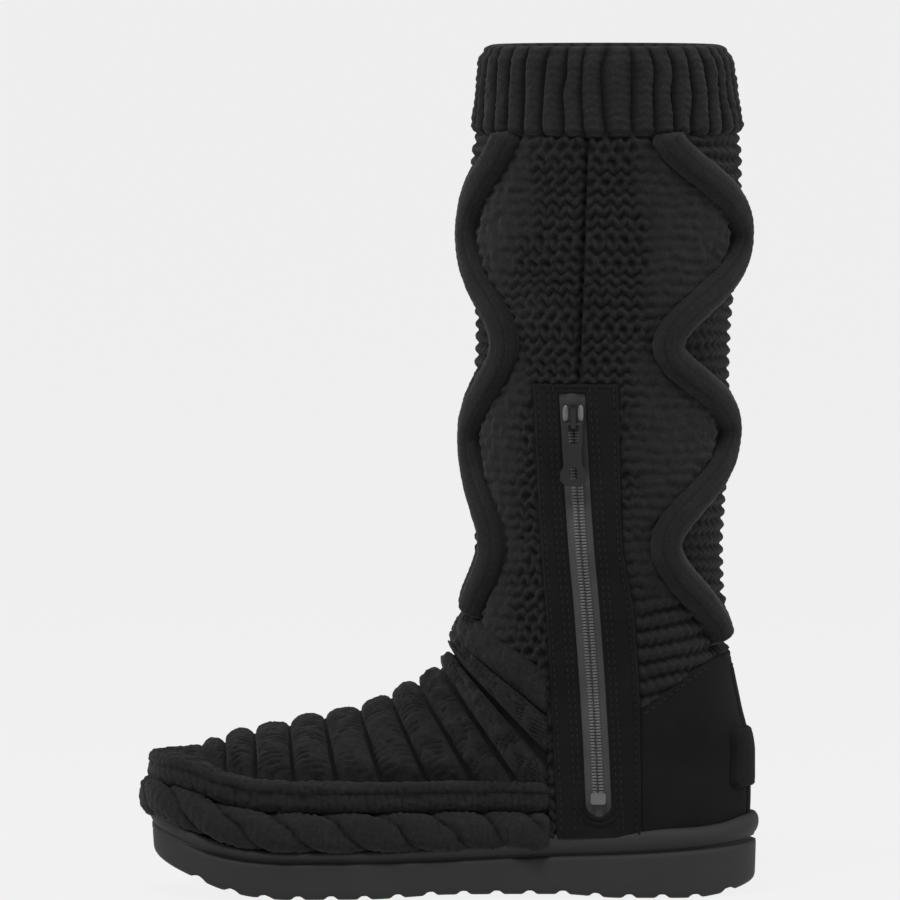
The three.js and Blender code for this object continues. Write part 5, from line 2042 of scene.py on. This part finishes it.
@dataclass
class Zip(Piece):
    """Zip tape, coil and the slider's highlight rims; stop, slider and pull stay the imported
    model's.
    """

    repeater: Repeater
    tape_half: float = 6.6
    # Heights between which the tape is painted lit; above and below them it is darkened.
    bright_low: float = 42.0
    bright_high: float = 184.0
    tape_grow: float = 1.2
    coil_pitch: float = 1.35
    coil_offset: float = 1.35
    coil_rise: float = 1.2
    coil_z: tuple[float, float] = (46.8, 216.0)
    tooth: tuple[float, float, float] = (1.05, 2.6, 1.3)
    tape_z: tuple[float, float] = (35.0, 223.0)
    rim_z: float = 213.5
    rim_offset: float = 3.3
    rim_half_length: float = 3.7
    rim_half_width: float = 1.2
    rim_proud: float = 0.7
    slider_face: float = 3.15

    def make(self) -> list[bpy.types.Object]:
        """Builds tape, coil and the slider's rims, whose pale finish is a painted highlight.

        Returns:
            The pieces.
        """
        z, u = np.meshgrid(np.linspace(*self.tape_z, 380), np.linspace(-1, 1, 41), indexing="ij")
        x = FACING.zip(z) + u * self.tape_half
        ridge = 0.35 * np.abs(np.sin(np.pi * u * 7)) + 0.1 * np.sin(z * 2 * np.pi / 0.9)
        cover = 0.75 * np.exp(-((u / 0.33) ** 4))
        grow = self.tape_grow + cover + 0.18 * ridge
        points = np.stack([x, -FORM.shaft_half(x, z, grow), z], -1)
        # Painted light and shade on the tape: painted shade above the lit band where slider and
        # pull shade it, darker below the stop, and a painted sheen streak along its middle.
        lit = smooth(z, self.bright_low - 1, self.bright_low + 2)
        lit = lit * (1 - smooth(z, self.bright_high, self.bright_high + 4))
        lit = lit * mix(0.45, 1.0, np.exp(-(((u + 0.12) / 0.62) ** 2)))
        tape = MeshMaker.grid("tape", points[:, ::-1], False, relief=lit[:, ::-1])
        self.dress(tape, self.finishes.tape, "tape_fabric", "zip_tape")
        high = np.linspace(*self.coil_z, 300)
        lines = []
        for way in (-1, 1):
            x = FACING.zip(high) + way * self.coil_offset
            half = FORM.shaft_half(x, high, self.tape_grow + self.coil_rise)
            place = np.stack([x, -half, high], -1)
            lines.append((place, np.broadcast_to([0.0, -1.0, 0.0], place.shape)))
        tooth = Shapes.pad("tooth_shape", self.tooth)
        coil = self.repeater.along("coil", lines, tooth, self.coil_pitch, self.finishes.coil)
        self.dress(coil, self.finishes.coil, "coil_plastic", "zip_chain")
        return [tape, coil, *self.rims()]

    def rims(self) -> list[bpy.types.Object]:
        """Builds the slider's two side rims above the pull, pale as a painted highlight on the
        slider's shoulders.

        Returns:
            The two rims.
        """
        along, a = np.meshgrid(
            np.linspace(-1, 1, 25), np.linspace(-np.pi / 2, np.pi / 2, 13), indexing="ij")
        middle_x = FACING.zip(self.rim_z)
        face = -FORM.shaft_half(middle_x, self.rim_z, GAP + 1.8) - self.slider_face
        taper = np.sqrt(np.clip(1 - np.abs(along) ** 3, 0, 1))
        rims = []
        for way, word in ((-1, "front"), (1, "back")):
            x = middle_x + way * self.rim_offset + self.rim_half_width * taper * np.sin(a)
            y = face - self.rim_proud * taper * np.cos(a)
            points = np.stack([x, y, self.rim_z + self.rim_half_length * along], -1)
            rim = MeshMaker.grid("slider_rim_" + word, points[:, ::-1], False)
            MeshMaker.weld(rim, outward=False)
            rims.append(self.dress(rim, self.finishes.silver, "zip_metal"))
        return rims


@dataclass
class Studio:
    """Floor, lights and camera."""

    elevation: float = 2.7
    distance: float = 6.0
    frame_width: float = 0.396
    aim: tuple[float, float, float] = (-0.000367, 0.0, 0.195)
    ambient: float = 0.25
    glow: float = 0.85
    horizon: float = 0.863
    floor_half: float = 30.0
    sensor: float = 36.0

    def make(self) -> None:
        """Sets the stage, the lights and the camera."""
        scene = bpy.context.scene
        scene.view_settings.view_transform = "Standard"
        scene.view_settings.look = "None"
        world = bpy.data.worlds.new("studio")
        scene.world = world
        world.use_nodes = True
        background = world.node_tree.nodes["Background"].inputs
        nodes = Nodes(world.node_tree)
        place = nodes.add("ShaderNodeTexCoord").outputs["Generated"]
        height = nodes.add("ShaderNodeSeparateXYZ", Vector=place).outputs["Z"]
        band = nodes.add(
            "ShaderNodeMapRange", interpolation_type="SMOOTHSTEP", Value=height,
            From_Min=0.09, From_Max=0.22, To_Min=self.horizon, To_Max=self.ambient)
        nodes.set(background["Strength"], band.outputs["Result"])
        nodes.set(background["Color"], WHITE)
        mesh = bpy.data.meshes.new("floor")
        half = self.floor_half
        corners = [(-half, -half, 0), (half, -half, 0), (half, half, 0), (-half, half, 0)]
        mesh.from_pydata(corners, [], [(0, 1, 2, 3)])
        floor = bpy.data.objects.new("floor", mesh)
        scene.collection.objects.link(floor)
        paper = Matt(
            "pale_floor", (0.03, 0.03, 0.03), vary=0.01, roughness=1.0,
            grain=0.05, specular=0.0).make()
        shader = paper.node_tree.nodes["Principled BSDF"].inputs
        shader["Emission Color"].default_value = WHITE
        shader["Emission Strength"].default_value = self.glow
        mesh.materials.append(paper)
        self.light("key", (-0.4, -1.6, 2.6), 0.9, 60.0)
        self.light("right", (2.2, -0.5, 1.6), 0.9, 26.0)
        self.light("left", (-2.2, -0.2, 1.4), 0.9, 18.0)
        data = bpy.data.cameras.new("camera")
        data.sensor_width = self.sensor
        data.lens = self.sensor * self.distance / self.frame_width
        data.clip_end = 50.0
        camera = bpy.data.objects.new("camera", data)
        e = math.radians(self.elevation)
        back = Vector((0.0, -math.cos(e), math.sin(e)))
        camera.location = Vector(self.aim) + back * self.distance
        camera.rotation_mode = "QUATERNION"
        camera.rotation_quaternion = (-back).to_track_quat("-Z", "Y")
        scene.collection.objects.link(camera)
        scene.camera = camera

    def light(
        self, name: str, place: tuple[float, float, float], size: float, power: float
    ) -> None:
        """Soft light aimed at the boot.

        Args:
            name: the light's name.
            place: where it stands, in metres.
            size: its width in metres.
            power: its power in watts.
        """
        data = bpy.data.lights.new(name, "AREA")
        data.shape = "DISK"
        data.size = size
        data.energy = power
        lamp = bpy.data.objects.new(name, data)
        lamp.location = place
        lamp.rotation_mode = "QUATERNION"
        lamp.rotation_quaternion = (Vector(self.aim) - Vector(place)).to_track_quat("-Z", "Y")
        bpy.context.scene.collection.objects.link(lamp)


def main() -> None:
    """Builds the boot's looks in order."""
    logging.basicConfig(level=logging.INFO, format="%(name)s: %(message)s")
    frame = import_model()
    PLACE.measure()
    finishes = Finishes.make()
    Sole(finishes).make()
    Insole(finishes).make()
    Shaft(finishes).make()
    Cuff(finishes).make()
    Vamp(finishes).make()
    Lining(finishes).make()
    for name, path, side in (
        ("wave_cord_front_medial", FRONT_CORD, Side.INNER),
        ("wave_cord_back_medial", BACK_CORD, Side.INNER),
        ("wave_cord_front_lateral", FRONT_CORD, Side.OUTER),
        ("wave_cord_back_lateral", BACK_CORD, Side.OUTER),
    ):
        WaveCord(finishes, name=name, path=path, side=side).make()
    Band(finishes, name="foot_band", height=14.0, proud=5.4, level=TRIM.band).make()
    Braid(finishes, name="foot_braid", height=16.5, proud=8.6, level=TRIM.braid).make()
    Suede(finishes).make()
    repeater = Repeater()
    Stitching(finishes, repeater).make()
    Zip(finishes, repeater).make()
    for node in ("zip_slider", "zip_pull", "zip_bottom_stop"):
        obj = frame["nodes"][node]
        obj.data.materials.clear()
        obj.data.materials.append(finishes.silver if node == "zip_bottom_stop" else finishes.metal)
    Studio().make()


if __name__ == "__main__":
    main()
